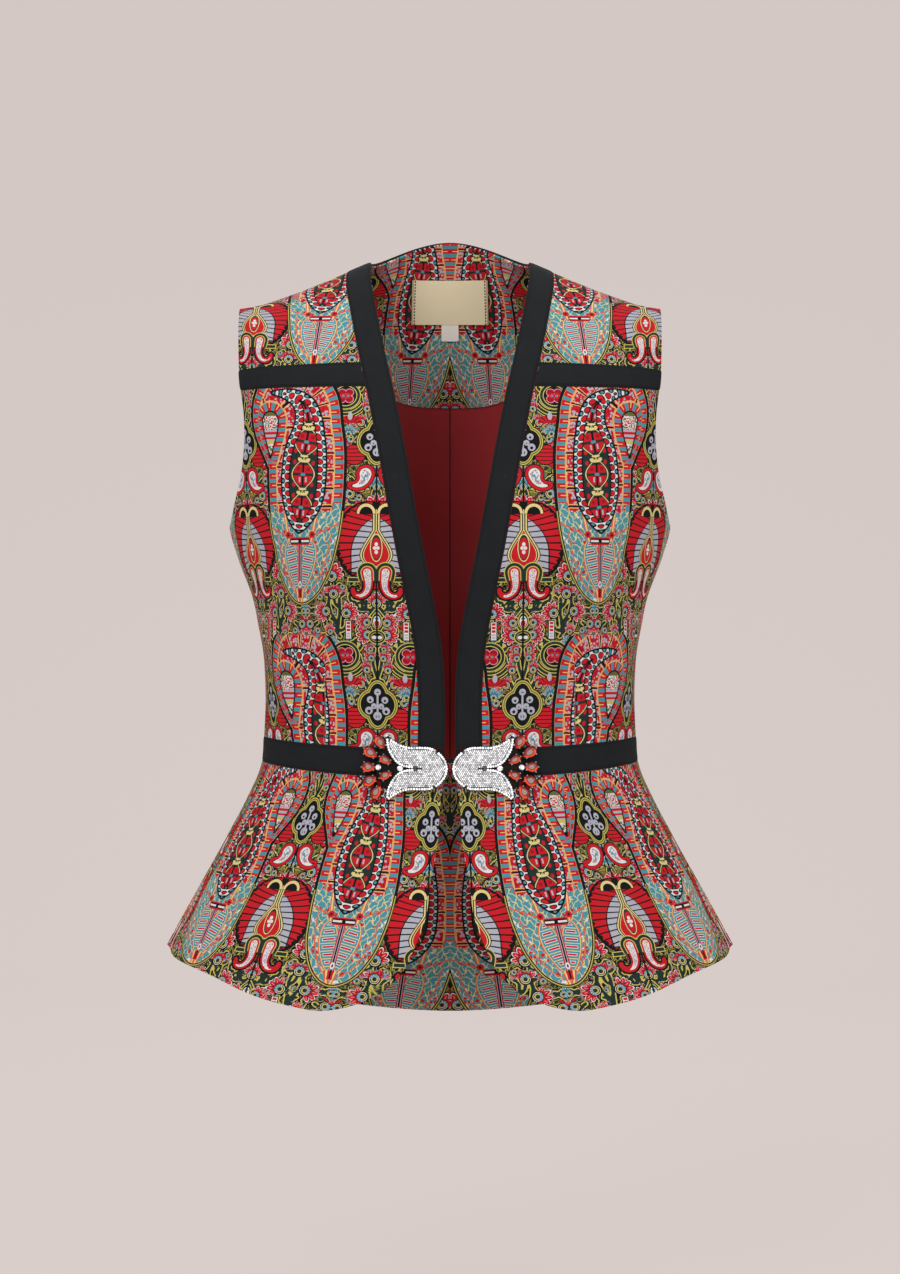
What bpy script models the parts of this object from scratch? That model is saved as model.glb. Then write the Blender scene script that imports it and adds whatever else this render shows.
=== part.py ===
"""Sleeveless fitted waistcoat with a flared peplum, filled out as it is worn.

Metres, +Z up, the front faces -Y, and the wearer's left is +X. The origin is where the wearer's
shoulders hold it: midway between the two neck points of the shoulder seams.

Each cloth piece is a closed wall on one surface, the garment's outside. A point of that surface is
a pair: an angle, 0 at the centre and a quarter turn at the side, and a climb. Below chest height
the surface is a stack of rounded rings, and the climb is the height over the chest. Above it the
surface closes over the shoulders as an arch, and the climb follows the arch up to the shoulder
seam. Every piece is made for the wearer's left and mirrored to the right.
"""

import math

import bmesh
import bpy
import numpy as np

MM = 0.001
QUARTER = math.pi / 2
HALVES = ([0, 1, 2], [0, 2, 3])  # a square cell's corners, taken as two triangles

# Cloth: how far each layer lies under the garment's outside, and how thick it is.
SEAM = 0.3 * MM
CLOTH = 1.6 * MM
TAPE_PROUD = 0.6 * MM
LINING_EASE = 1.2 * MM
FACING_EASE = 2.3 * MM
LINING = 1.0 * MM
FACING = 1.2 * MM
LABEL = 1.0 * MM
LABEL_GAP = 0.9 * MM

# Rings, from below the hem up to the chest.
CHEST_Z = -0.200
CORNER_FILL = 0.09
RINGS = (
    # height, half width, front depth, back depth
    (-0.640, 0.2730, 0.1520, 0.1560),
    (-0.570, 0.2390, 0.1380, 0.1420),
    (-0.532, 0.2200, 0.1298, 0.1340),
    (-0.497, 0.2012, 0.1207, 0.1250),
    (-0.462, 0.1818, 0.1112, 0.1150),
    (-0.438, 0.1688, 0.1052, 0.1070),
    (-0.415, 0.1565, 0.1010, 0.0980),
    (-0.400, 0.1495, 0.1002, 0.0925),
    (-0.388, 0.1460, 0.1000, 0.0890),
    (-0.368, 0.1447, 0.0998, 0.0875),
    (-0.333, 0.1440, 0.1030, 0.0890),
    (-0.300, 0.1458, 0.1085, 0.0930),
    (-0.263, 0.1533, 0.1160, 0.0985),
    (-0.230, 0.1655, 0.1210, 0.1045),
    (-0.208, 0.1716, 0.1220, 0.1068),
    (CHEST_Z, 0.1720, 0.1220, 0.1070),
)

# Arch over the shoulders: the shoulder ridge, and how full the front and the back are under it,
# at the centre and at the side.
ARCH = 0.190
RIDGE_Y = 6 * MM
RIDGE = (
    # distance from the middle, height
    (0.000, 0.0230),
    (0.062, 0.0000),
    (0.078, -0.0068),
    (0.101, -0.0167),
    (0.132, -0.0284),
    (0.148, -0.0335),
    (0.164, -0.0360),
    (0.180, -0.0375),
)
FRONT_FULL = (-0.35, 0.40)
BACK_FULL = (0.35, 0.45)

# Bust fullness over the waist darts.
BUST_X, BUST_Z, BUST_OUT = 86 * MM, -0.232, 7 * MM
BUST_WIDE, BUST_HIGH = 48 * MM, 52 * MM

# Neck opening: a half circle behind, whose edge stands up, and the front edge's table.
NECK_HALF = 62 * MM
NECK_STEPS = 8
STAND_LIFT, STAND_FADE = 29 * MM, 30 * MM
BAND = 20 * MM
FRONT_ROW, BACK_ROW = 32 * MM, 70 * MM  # lengths of the rows that leave the neck edge
NECKLINE = (
    # height, distance from the middle
    (-0.420, 0.0040),
    (-0.376, 0.0040),
    (-0.340, 0.0037),
    (-0.302, 0.0060),
    (-0.264, 0.0125),
    (-0.226, 0.0200),
    (-0.189, 0.0268),
    (-0.151, 0.0336),
    (-0.112, 0.0413),
    (-0.074, 0.0498),
    (-0.034, 0.0579),
    (-0.017, 0.0610),
    (0.004, 0.0620),
)

# Armhole, from the underarm up to the tip of the shoulder.
UNDERARM_Z, TIP_Z = -0.208, -0.036
ARMHOLE_BEND = 1.1
ARMHOLE = (
    # height, distance of the front edge and of the back edge from the middle
    (UNDERARM_Z, 0.1716, 0.1716),
    (-0.2045, 0.1695, 0.1703),
    (-0.1990, 0.1676, 0.1690),
    (-0.1900, 0.1652, 0.1672),
    (-0.1750, 0.1608, 0.1642),
    (-0.1500, 0.1570, 0.1612),
    (-0.1250, 0.1571, 0.1608),
    (-0.0950, 0.1612, 0.1622),
    (-0.0600, 0.1632, 0.1632),
    (TIP_Z, 0.1640, 0.1640),
    (-0.0200, 0.1642, 0.1642),
)

# Seams round the body: height at the centre and at the side.
WAIST_TOP_FRONT = (-0.3760, -0.3695)
WAIST_LOW_FRONT = (-0.3980, -0.3885)
WAIST_TOP_BACK = (-0.3720, -0.3695)
WAIST_LOW_BACK = (-0.3930, -0.3885)
YOKE_TOP = (-0.0855, -0.0880)
YOKE_LOW = (-0.1050, -0.1040)

# Peplum: hem heights, the cutaway front edge with its round corner, and the soft flutes.
HEM_SIDE, HEM_FRONT, HEM_BACK = -0.5327, -0.5766, -0.6020
HEM_FRONT_BEND, HEM_BACK_BEND = 2.6, 2.0
CORNER_Z, CORNER_RISE = -0.5533, 20.8 * MM
CORNER_START, CORNER_END, CORNER_BEND = 51.1 * MM, 103 * MM, 1.6
CUTAWAY = (
    # height, distance from the middle
    (-0.6000, 0.1100),
    (CORNER_Z, CORNER_START),
    (-0.5404, 0.0364),
    (-0.5193, 0.0254),
    (-0.5028, 0.0188),
    (-0.4753, 0.0144),
    (-0.4462, 0.0093),
    (-0.4162, 0.0071),
    (-0.3980, 0.0042),
)
FLUTES, FLUTE_OUT, FLUTE_DROP, FLUTE_MOST = 11, 2.5 * MM, 0.150, 1.3

# Back neck facing, and the label and size tab sewn to it.
FACING_LOW, FACING_RISE, FACING_WIDE, FACING_BEND = -0.106, 90 * MM, 100 * MM, 3.4
LABEL_WIDE, LABEL_TOP, LABEL_LOW = 61 * MM, -0.0045, -0.0395
TAB_WIDE, TAB_HIGH = 14.5 * MM, 13 * MM
LABEL_SEEK = 38 * MM  # the climb above which the label lies

# Clasp: each half is a tulip lying on its side with a fan of stones at its mouth.
CLASP_Z = -0.3906
CLASP_Y, CLASP_YAW = -100 * MM, math.radians(6.6)
FAN_OUT, FAN_THICK = 2.9 * MM, 1.2 * MM
PLATE_OUT, PLATE_THICK, PLATE_ROUND = 4.4 * MM, 2.2 * MM, 0.5 * MM
PLATE_DOME, PLATE_MIDDLE, PLATE_REACH = 0.4 * MM, 24 * MM, 36 * MM
FAN_X, FAN_RADIUS, FAN_NARROW = 34 * MM, 32 * MM, 5 * MM
FAN_ANGLES = (-50, 54)
OUTER_STEPS, INNER_STEPS = 16, 8
TULIP_OUTER = (
    # distance from the middle and height of the petal's outer edge, from the round end to the tip
    (0.8 * MM, 0.0),
    (2.3 * MM, 6.0 * MM),
    (6.6 * MM, 11.6 * MM),
    (13.0 * MM, 15.6 * MM),
    (21.0 * MM, 16.4 * MM),
    (30.0 * MM, 16.4 * MM),
    (38.5 * MM, 19.0 * MM),
    (47.6 * MM, 25.4 * MM),
)
TULIP_INNER = (
    # the same for its inner edge, from the tip back to the notch between the petals
    (47.6 * MM, 25.4 * MM),
    (46.8 * MM, 16.2 * MM),
    (43.6 * MM, 9.2 * MM),
    (39.2 * MM, 3.8 * MM),
    (33.6 * MM, 0.9 * MM),
    (25.9 * MM, 0.0),
)
TEARDROPS = (
    # distance from the middle, height, length, width, lean in degrees
    (51.6 * MM, 19.4 * MM, 10.5 * MM, 6.0 * MM, 58),
    (58.9 * MM, 11.8 * MM, 11.0 * MM, 6.4 * MM, 33),
    (60.4 * MM, 1.1 * MM, 9.8 * MM, 6.2 * MM, 0),
    (59.5 * MM, -9.1 * MM, 10.6 * MM, 6.4 * MM, -28),
    (54.8 * MM, -17.6 * MM, 11.0 * MM, 6.0 * MM, -54),
    (47.7 * MM, 6.3 * MM, 9.6 * MM, 5.0 * MM, 30),
    (47.6 * MM, -5.0 * MM, 9.6 * MM, 5.0 * MM, -25),
)
STONE_HIGH, TEARDROP_FULL = 3.0 * MM, 1.3
WHITE_STONES = (
    # distance from the middle, height, width
    (53.4 * MM, 0.8 * MM, 3.0 * MM),
    (37.0 * MM, 0.0, 4.2 * MM),
)
HOOK_HALF, HOOK_Z, HOOK_HIGH = 6.5 * MM, 5.9 * MM, 3.2 * MM
HOOK_OUT, HOOK_THICK = 1.2 * MM, 2.2 * MM

FINISHES = {
    # colour, roughness, metallic
    "brocade": ((0.36, 0.13, 0.12), 0.85, 0.0),
    "tape": ((0.016, 0.018, 0.020), 0.90, 0.0),
    "lining": ((0.110, 0.009, 0.012), 0.55, 0.0),
    "label": ((0.50, 0.43, 0.27), 0.90, 0.0),
    "pave": ((0.80, 0.80, 0.82), 0.15, 1.0),
    "gunmetal": ((0.05, 0.045, 0.045), 0.30, 1.0),
    "amber": ((0.42, 0.06, 0.015), 0.08, 0.0),
    "crystal": ((0.85, 0.85, 0.88), 0.05, 0.0),
}


def curve_through(rows, column, level_start=False):
    """A smooth curve through a table's rows, as a function of its first column."""
    at = np.array([row[0] for row in rows])
    value = np.array([row[column] for row in rows])
    slope = np.gradient(value, at)
    if level_start:
        slope[0] = 0

    def read(x):
        x = np.clip(np.asarray(x, float), at[0], at[-1])
        i = np.clip(np.searchsorted(at, x) - 1, 0, len(at) - 2)
        step = at[i + 1] - at[i]
        t = (x - at[i]) / step
        start = (1 + 2 * t) * (1 - t) ** 2 * value[i] + t * (1 - t) ** 2 * step * slope[i]
        end = t * t * (3 - 2 * t) * value[i + 1] - t * t * (1 - t) * step * slope[i + 1]
        return start + end

    return read


half_width = curve_through(RINGS, 1)
front_depth = curve_through(RINGS, 2)
back_depth = curve_through(RINGS, 3)
ridge_height = curve_through(RIDGE, 1, level_start=True)
neckline = curve_through(NECKLINE, 1)
cutaway = curve_through(CUTAWAY, 1)
armhole_front = curve_through(ARMHOLE, 1)
armhole_back = curve_through(ARMHOLE, 2)


def ring_x(angle):
    """A ring's outline: its distance from the middle, as a share of its half width."""
    return np.sin(angle) * (1 + CORNER_FILL * np.cos(angle) ** 2)


def ring_y(angle):
    """The same outline's distance in front of or behind the sides, as a share of its depth."""
    return np.cos(angle) * (1 + CORNER_FILL * np.sin(angle) ** 2)


def angle_at(x, z):
    """The ring angle at a distance from the middle and a height."""
    angles = np.linspace(0, QUARTER, 2000)
    share = x / half_width(np.minimum(z, CHEST_Z))
    return np.interp(share, ring_x(angles), angles)


def climb_at(angle, z):
    """The climb at a ring angle and a height."""
    top = ridge_height(half_width(CHEST_Z) * ring_x(angle))
    rise = np.clip((z - CHEST_Z) / (top - CHEST_Z), 0, 1)
    return np.where(z > CHEST_Z, ARCH * np.arcsin(rise), z - CHEST_Z)


def arch_reach(angle, turn, back):
    """How far out the arch is at each turn up it, from 1 at the chest to 0 at the ridge."""
    centre, side = BACK_FULL if back else FRONT_FULL
    full = centre + (side - centre) * ring_x(angle) ** 2
    return np.cos(turn) * (1 + full * np.sin(turn) ** 2)


def neck_stand(x, behind):
    """How far the back of the neck stands up over the arch, fading out down the back."""
    from_middle = np.maximum(np.hypot(x, behind), 1e-9)
    away = np.maximum(from_middle - NECK_HALF, 0)
    share = np.clip(behind / from_middle, 0, 1) ** 2
    return STAND_LIFT * share * np.exp(-((away / STAND_FADE) ** 1.5))


def flute(angle, z, back):
    """How far the peplum's soft flutes push out: nothing at the waist, the most at the hem."""
    drop = np.clip((WAIST_LOW_FRONT[0] - z) / FLUTE_DROP, 0, FLUTE_MOST)
    turn = np.pi - angle if back else angle
    return FLUTE_OUT * drop**1.5 * np.cos(FLUTES * turn)


def surface(angle, climb, back=False, gap=0.0):
    """The garment's outside. A gap keeps it off the side and shoulder seams by that much."""
    angle, climb = np.broadcast_arrays(np.asarray(angle, float), np.asarray(climb, float))
    low = CHEST_Z + np.minimum(climb, 0)
    x = half_width(low) * ring_x(angle)
    turn = np.clip(climb / ARCH, 0, QUARTER)
    arch = arch_reach(angle, turn, back)
    depth = (back_depth if back else front_depth)(low)
    reach = depth * ring_y(angle) * arch
    if gap:
        reach = np.maximum(reach, gap)
    z = low + (ridge_height(x) - CHEST_Z) * np.sin(turn)
    if back:
        y = RIDGE_Y * (1 - arch) + reach
        z = z + neck_stand(x, y - RIDGE_Y) * np.where(climb > 0, 1, 0)
    else:
        bulge = np.exp(-(((x - BUST_X) / BUST_WIDE) ** 2) - ((z - BUST_Z) / BUST_HIGH) ** 2)
        y = RIDGE_Y * (1 - arch) - reach - BUST_OUT * bulge * ring_y(angle)
    wave = flute(angle, low, back)
    side = 1 if back else -1
    return np.stack([x + wave * np.sin(angle), y + side * wave * np.cos(angle), z], -1)


def outward(angle, climb, back=False):
    """The surface's normal, pointing out of the garment."""
    step = 1e-4
    across = surface(angle + step, climb, back) - surface(angle - step, climb, back)
    up = surface(angle, climb + step, back) - surface(angle, climb - step, back)
    normal = np.cross(up, across) if back else np.cross(across, up)
    return normal / np.linalg.norm(normal, axis=-1, keepdims=True)


def piece(pairs, back=False):
    """The points and normals of a grid of (angle, climb) pairs."""
    angle, climb = pairs[..., 0], pairs[..., 1]
    return surface(angle, climb, back, gap=SEAM / 2), outward(angle, climb, back)


def real_lengths(line, back):
    """How far each of a line's (angle, climb) pairs is along it, in metres."""
    points = surface(line[:, 0], line[:, 1], back)
    steps = np.linalg.norm(np.diff(points, axis=0), axis=1)
    return np.concatenate([[0], np.cumsum(steps)])


def spaced(line, at, back):
    """The pairs of a dense line at the given distances along it."""
    along = real_lengths(line, back)
    return np.stack([np.interp(at, along, line[:, k]) for k in (0, 1)], -1)


def patch(bottom, top, left, right, u, v, back=False):
    """A grid inside four dense edges, at shares u across and v up, blended from all four."""

    def sample(line, shares):
        return spaced(line, shares * real_lengths(line, back)[-1], back)

    low, high = sample(bottom, u)[None], sample(top, u)[None]
    near, far = sample(left, v)[:, None], sample(right, v)[:, None]
    u, v = u[None, :, None], v[:, None, None]
    corners = (1 - v) * ((1 - u) * low[:, :1] + u * low[:, -1:])
    corners = corners + v * ((1 - u) * high[:, :1] + u * high[:, -1:])
    return (1 - v) * low + v * high + (1 - u) * near + u * far - corners


def split_shares(line, corner, before, after, back, bend):
    """Shares along a line with a given number of steps on each side of a corner."""
    along = real_lengths(line, back)
    share = along[corner] / along[-1]
    first = np.linspace(0, share, before + 1)
    rest = share + (1 - share) * np.linspace(0, 1, after + 1)[1:] ** bend
    return np.concatenate([first, rest])


def seam(ends, angle):
    """A seam's height at each angle, from its height at the centre and at the side."""
    return ends[1] + (ends[0] - ends[1]) * np.cos(angle) ** 2


def seam_line(ends, start, stop, trim=0.0):
    """The pairs along a seam between two angles, moved up by trim."""
    angle = np.linspace(start, stop, 300)
    return np.stack([angle, climb_at(angle, seam(ends, angle)) + trim], -1)


def ridge_line(start, stop):
    """The pairs along the shoulder seam between two angles."""
    angle = np.linspace(start, stop, 300)
    return np.stack([angle, np.full_like(angle, ARCH * QUARTER)], -1)


def material(name):
    """A plain principled finish."""
    made = bpy.data.materials.get(name)
    if made is None:
        made = bpy.data.materials.new(name)
        made.use_nodes = True
        colour, roughness, metallic = FINISHES[name]
        shader = made.node_tree.nodes["Principled BSDF"]
        shader.inputs["Base Color"].default_value = (*colour, 1.0)
        shader.inputs["Roughness"].default_value = roughness
        shader.inputs["Metallic"].default_value = metallic
    return made


def add_object(name, mesh, finish):
    """A named object in the scene, smooth except at its sharp edges."""
    mesh.materials.append(material(finish))
    made = bpy.data.objects.new(name, mesh)
    bpy.context.scene.collection.objects.link(made)
    mesh.shade_smooth()
    mesh.set_sharp_from_angle(angle=math.radians(40))


def add_wall(name, points, normals, finish, outer=0.0, thick=CLOTH):
    """A closed wall: the grid's points moved out by outer, and again thick further in.

    Outer is one distance, or one for each point."""
    rows, columns = points.shape[:2]
    count = rows * columns
    cell = np.arange(count).reshape(rows, columns)
    quads = np.stack([cell[:-1, :-1], cell[:-1, 1:], cell[1:, 1:], cell[1:, :-1]], -1)
    quads = quads.reshape(-1, 4)
    rim = np.concatenate([cell[0, :-1], cell[:-1, -1], cell[-1, :0:-1], cell[:0:-1, 0]])
    after = np.roll(rim, -1)
    edge = np.stack([rim, rim + count, after + count, after], -1)
    near, far = (np.concatenate([quads[:, corners], edge[:, corners]]) for corners in HALVES)
    inside = np.concatenate([quads[:, corners][:, ::-1] + count for corners in HALVES])
    faces = np.concatenate([near, far, inside])
    across = points[:-1, 1:] - points[:-1, :-1]
    up = points[1:, :-1] - points[:-1, :-1]
    if (np.cross(across, up) * normals[:-1, :-1]).sum() < 0:
        faces = faces[:, ::-1]
    walls = [points + normals * outer, points + normals * (outer - thick)]
    mesh = bpy.data.meshes.new(name)
    mesh.from_pydata(np.concatenate(walls).reshape(-1, 3).tolist(), [], faces.tolist())
    mesh.update()
    add_object(name, mesh, finish)


def add_pair(name, points, normals, finish, **sizes):
    """A piece for the wearer's left and its mirror image, parted at the centre by a seam."""
    points = points.copy()
    points[..., 0] = np.maximum(points[..., 0], SEAM / 2)
    flip = np.array([-1, 1, 1])
    add_wall(name + "_left", points, normals, finish, **sizes)
    add_wall(name + "_right", points * flip, normals * flip, finish, **sizes)


def add_whole(name, points, normals, finish, **sizes):
    """A piece that runs unbroken across the centre: its left half joined to its mirror image."""
    flip = np.array([-1, 1, 1])
    points = np.concatenate([(points * flip)[:, :0:-1], points], axis=1)
    normals = np.concatenate([(normals * flip)[:, :0:-1], normals], axis=1)
    add_wall(name, points, normals, finish, **sizes)


def neck_edge(climb):
    """The distance from the middle and the height of the front neckline at each climb."""
    x = np.full_like(climb, NECK_HALF)
    for _ in range(6):
        arch = CHEST_Z + (ridge_height(x) - CHEST_Z) * np.sin(climb / ARCH)
        z = np.where(climb > 0, arch, CHEST_Z + climb)
        x = neckline(z)
    return x, z


def front_neck_rows(climbs, distances):
    """Rows of pairs that leave the front neckline square to it, at distances along the cloth."""
    x, z = neck_edge(climbs)
    lean = np.gradient(x, climbs)
    out = np.linspace(0, FRONT_ROW, 120)
    rows = []
    for start, height, climb, slope in zip(x, z, climbs, lean):
        line = np.stack([angle_at(start + out, height), climb - slope * out], -1)
        rows.append(spaced(line, distances, False))
    return np.array(rows)


def back_neck_line(turn):
    """The dense pairs that leave the back of the neck in one direction.

    The turn is seen from above: 0 along the shoulder seam, a quarter turn at the centre back."""
    out = NECK_HALF + np.linspace(0, BACK_ROW, 300)
    angle = angle_at(out * math.cos(turn), CHEST_Z)
    depth = back_depth(CHEST_Z) * ring_y(angle) - RIDGE_Y
    share = out * math.sin(turn) / depth
    angle, share = angle[share < 0.99], share[share < 0.99]
    turns = np.linspace(QUARTER, 0, 1000)
    reach = arch_reach(angle[:, None], turns[None, :], True)
    arch = [np.interp(want, row, turns) for want, row in zip(share, reach)]
    return np.stack([angle, ARCH * np.array(arch)], -1)


def back_neck_row(turn, distances):
    """The pairs at distances along the cloth from the back of the neck, in one direction."""
    return spaced(back_neck_line(turn), distances, True)


def facing_depth(turn):
    """How far the facing reaches from the back of the neck, in each direction.

    Its lower edge is a curve that rises from the centre back to the shoulder seam."""
    line = back_neck_line(turn)
    x, _, z = surface(line[:, 0], line[:, 1], True).T
    over = z - FACING_LOW - FACING_RISE * (x / FACING_WIDE) ** FACING_BEND
    return np.interp(0, -over, real_lengths(line, True))


def front_inner_line(low, high):
    """The front panels' inner edge, beside the neck band, from one seam up to another."""
    climbs = np.linspace(WAIST_LOW_FRONT[0] - CHEST_Z, ARCH * QUARTER, 240)
    edge = front_neck_rows(climbs, [BAND + SEAM])[:, 0]
    climb = np.linspace(edge[0, 1], edge[-1, 1], 1200)
    angle = np.interp(climb, edge[:, 1], edge[:, 0])
    first = np.interp(0, climb - climb_at(angle, seam(low, angle)), climb) + SEAM / 2
    last = ARCH * QUARTER
    if high:
        last = np.interp(0, climb - climb_at(angle, seam(high, angle)), climb) - SEAM / 2
    climb = np.linspace(first, last, 400)
    return np.stack([np.interp(climb, edge[:, 1], edge[:, 0]), climb], -1)


def outer_line(low_z, high_z, back):
    """A body panel's outer edge between two heights: side seam, then armhole."""
    armhole = armhole_back if back else armhole_front
    top = high_z - SEAM / 2 if high_z else float(ridge_height(armhole(TIP_Z)))
    z = np.linspace(low_z + SEAM / 2, top, 1500)
    if low_z < UNDERARM_Z:
        z = np.sort(np.append(z, UNDERARM_Z))
    angle = np.where(z > UNDERARM_Z, angle_at(armhole(z), z), QUARTER)
    climb = climb_at(angle, z)
    if not high_z:
        climb[-1] = ARCH * QUARTER
    return np.stack([angle, climb], -1), int(np.searchsorted(z, UNDERARM_Z))


def build_fronts():
    """Each front has a bodice panel, a yoke, and a tape over the seam between them."""
    inner = front_inner_line(WAIST_TOP_FRONT, YOKE_LOW)
    outer, underarm = outer_line(WAIST_TOP_FRONT[1], YOKE_LOW[1], False)
    bottom = seam_line(WAIST_TOP_FRONT, inner[0, 0], QUARTER, SEAM / 2)
    top = seam_line(YOKE_LOW, inner[-1, 0], outer[-1, 0], -SEAM / 2)
    up = split_shares(outer, underarm, 6, 8, False, bend=ARMHOLE_BEND)
    grid = patch(bottom, top, inner, outer, np.linspace(0, 1, 12), up)
    add_pair("front", *piece(grid), "brocade")

    across = np.linspace(0, 1, 9)
    inner = front_inner_line(YOKE_LOW, YOKE_TOP)
    outer, _ = outer_line(YOKE_LOW[1], YOKE_TOP[1], False)
    bottom = seam_line(YOKE_LOW, inner[0, 0], outer[0, 0], SEAM / 2)
    top = seam_line(YOKE_TOP, inner[-1, 0], outer[-1, 0], -SEAM / 2)
    grid = patch(bottom, top, inner, outer, across, np.linspace(0, 1, 3))
    add_pair("yoke_tape", *piece(grid), "tape", outer=TAPE_PROUD, thick=CLOTH + TAPE_PROUD)

    inner = front_inner_line(YOKE_TOP, None)
    outer, _ = outer_line(YOKE_TOP[1], None, False)
    bottom = seam_line(YOKE_TOP, inner[0, 0], outer[0, 0], SEAM / 2)
    top = ridge_line(inner[-1, 0], outer[-1, 0])
    grid = patch(bottom, top, inner, outer, across, np.linspace(0, 1, 8))
    add_pair("front_yoke", *piece(grid), "brocade")


def build_neck_band():
    """One strip each side: up the front edge, over the shoulder and round the back of the neck."""
    across = np.linspace(0, BAND, 4)
    start = WAIST_TOP_FRONT[0] - CHEST_Z + SEAM
    below = np.linspace(start, 0, 11)[:-1]
    above = np.linspace(0, ARCH * QUARTER, 13)
    front = piece(front_neck_rows(np.concatenate([below, above]), across))
    turns = np.linspace(0, QUARTER, NECK_STEPS + 1)[1:]
    back = piece(np.array([back_neck_row(turn, across) for turn in turns]), True)
    points, normals = (np.concatenate(both) for both in zip(front, back))
    add_pair("neck_band", points, normals, "tape", outer=TAPE_PROUD, thick=CLOTH + TAPE_PROUD)


def back_grid(low, reach, shoulder_steps, rows):
    """A grid of the back, from a seam at the waist up to a curve round the neck and the shoulder.

    reach(turn) is how far that curve lies from the neck edge in each direction."""
    turns = np.linspace(QUARTER, 0, NECK_STEPS + 1)
    round_neck = np.array([back_neck_row(turn, [reach(turn)])[0] for turn in turns])
    outer, underarm = outer_line(low[1], None, True)
    top = np.concatenate([round_neck, ridge_line(round_neck[-1, 0], outer[-1, 0])[1:]])
    bottom = seam_line(low, 0.0, QUARTER, SEAM / 2)
    climb = np.linspace(bottom[0, 1], round_neck[0, 1], 400)
    inner = np.stack([np.zeros_like(climb), climb], -1)
    along = real_lengths(top, True)
    shoulder = np.linspace(along[NECK_STEPS], along[-1], shoulder_steps + 1)
    across = np.concatenate([along[:NECK_STEPS], shoulder]) / along[-1]
    up = split_shares(outer, underarm, *rows, True, bend=ARMHOLE_BEND)
    return patch(bottom, top, inner, outer, across, up, True)


def build_back():
    """The back panels, their lining, and the facing round the back of the neck."""
    panel = back_grid(WAIST_TOP_BACK, lambda turn: BAND + SEAM, 6, (6, 14))
    add_pair("back", *piece(panel, True), "brocade")

    under = CLOTH + LINING_EASE
    lining = back_grid(WAIST_LOW_BACK, lambda turn: facing_depth(turn) + SEAM, 5, (6, 9))
    add_pair("back_lining", *piece(lining, True), "lining", outer=-under, thick=LINING)

    turns = np.linspace(0, QUARTER, NECK_STEPS + 1)
    away = np.array([np.linspace(0, facing_depth(turn), 13) for turn in turns])
    rows = [back_neck_row(turn, distances) for turn, distances in zip(turns, away)]
    facing = piece(np.array(rows), True)
    loose = np.clip(away / BAND, 0, 1)[..., None]
    under = CLOTH + SEAM + (FACING_EASE - SEAM) * loose
    add_pair("back_neck_facing", *facing, "brocade", outer=-under, thick=FACING)


def build_waistband():
    """A band round the waist: one strip on each front and one across the back."""
    across = np.linspace(0, 1, 14)
    up = np.linspace(0, 1, 3)
    sizes = {"outer": TAPE_PROUD, "thick": CLOTH + TAPE_PROUD}
    z = np.linspace(WAIST_LOW_FRONT[1] + SEAM / 2, WAIST_TOP_FRONT[1] - SEAM / 2, 50)
    side = np.stack([np.full_like(z, QUARTER), z - CHEST_Z], -1)

    z = np.linspace(WAIST_LOW_FRONT[0] + SEAM / 2, WAIST_TOP_FRONT[0] - SEAM / 2, 50)
    inner = np.stack([angle_at(neckline(z), z), z - CHEST_Z], -1)
    bottom = seam_line(WAIST_LOW_FRONT, inner[0, 0], QUARTER, SEAM / 2)
    top = seam_line(WAIST_TOP_FRONT, inner[-1, 0], QUARTER, -SEAM / 2)
    grid = patch(bottom, top, inner, side, across, up)
    add_pair("waistband_front", *piece(grid), "tape", **sizes)

    z = np.linspace(WAIST_LOW_BACK[0] + SEAM / 2, WAIST_TOP_BACK[0] - SEAM / 2, 50)
    centre = np.stack([np.zeros_like(z), z - CHEST_Z], -1)
    bottom = seam_line(WAIST_LOW_BACK, 0.0, QUARTER, SEAM / 2)
    top = seam_line(WAIST_TOP_BACK, 0.0, QUARTER, -SEAM / 2)
    grid = patch(bottom, top, centre, side, across, up, True)
    add_whole("waistband_back", *piece(grid, True), "tape", **sizes)


def hem_line(back, start):
    """The hem from an angle to the side seam. The front hem rises into its round corner."""
    angle = np.linspace(start, QUARTER, 500)
    low, bend = (HEM_BACK, HEM_BACK_BEND) if back else (HEM_FRONT, HEM_FRONT_BEND)
    z = HEM_SIDE + (low - HEM_SIDE) * np.cos(angle) ** bend
    if not back:
        x = half_width(z) * ring_x(angle)
        share = np.clip((CORNER_END - x) / (CORNER_END - CORNER_START), 0, 1)
        z = z + CORNER_RISE * share**CORNER_BEND
    return np.stack([angle, z - CHEST_Z], -1)


def build_peplum():
    """The flared peplum: two fronts cut away from the centre, and two backs."""
    across = np.linspace(0, 1, 14)
    up = np.linspace(0, 1, 10)
    z = np.linspace(HEM_SIDE, WAIST_LOW_FRONT[1] - SEAM / 2, 300)
    side = np.stack([np.full_like(z, QUARTER), z - CHEST_Z], -1)

    z = np.linspace(CORNER_Z, WAIST_LOW_FRONT[0] - SEAM / 2, 400)
    edge = np.stack([angle_at(cutaway(z), z), z - CHEST_Z], -1)
    hem = hem_line(False, edge[0, 0])
    hem[0] = edge[0]
    top = seam_line(WAIST_LOW_FRONT, edge[-1, 0], QUARTER, -SEAM / 2)
    add_pair("peplum_front", *piece(patch(hem, top, edge, side, across, up)), "brocade")

    hem = hem_line(True, 0.0)
    climb = np.linspace(hem[0, 1], WAIST_LOW_BACK[0] - SEAM / 2 - CHEST_Z, 300)
    centre = np.stack([np.zeros_like(climb), climb], -1)
    top = seam_line(WAIST_LOW_BACK, 0.0, QUARTER, -SEAM / 2)
    grid = patch(hem, top, centre, side, across, up, True)
    add_pair("peplum_back", *piece(grid, True), "brocade")


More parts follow.
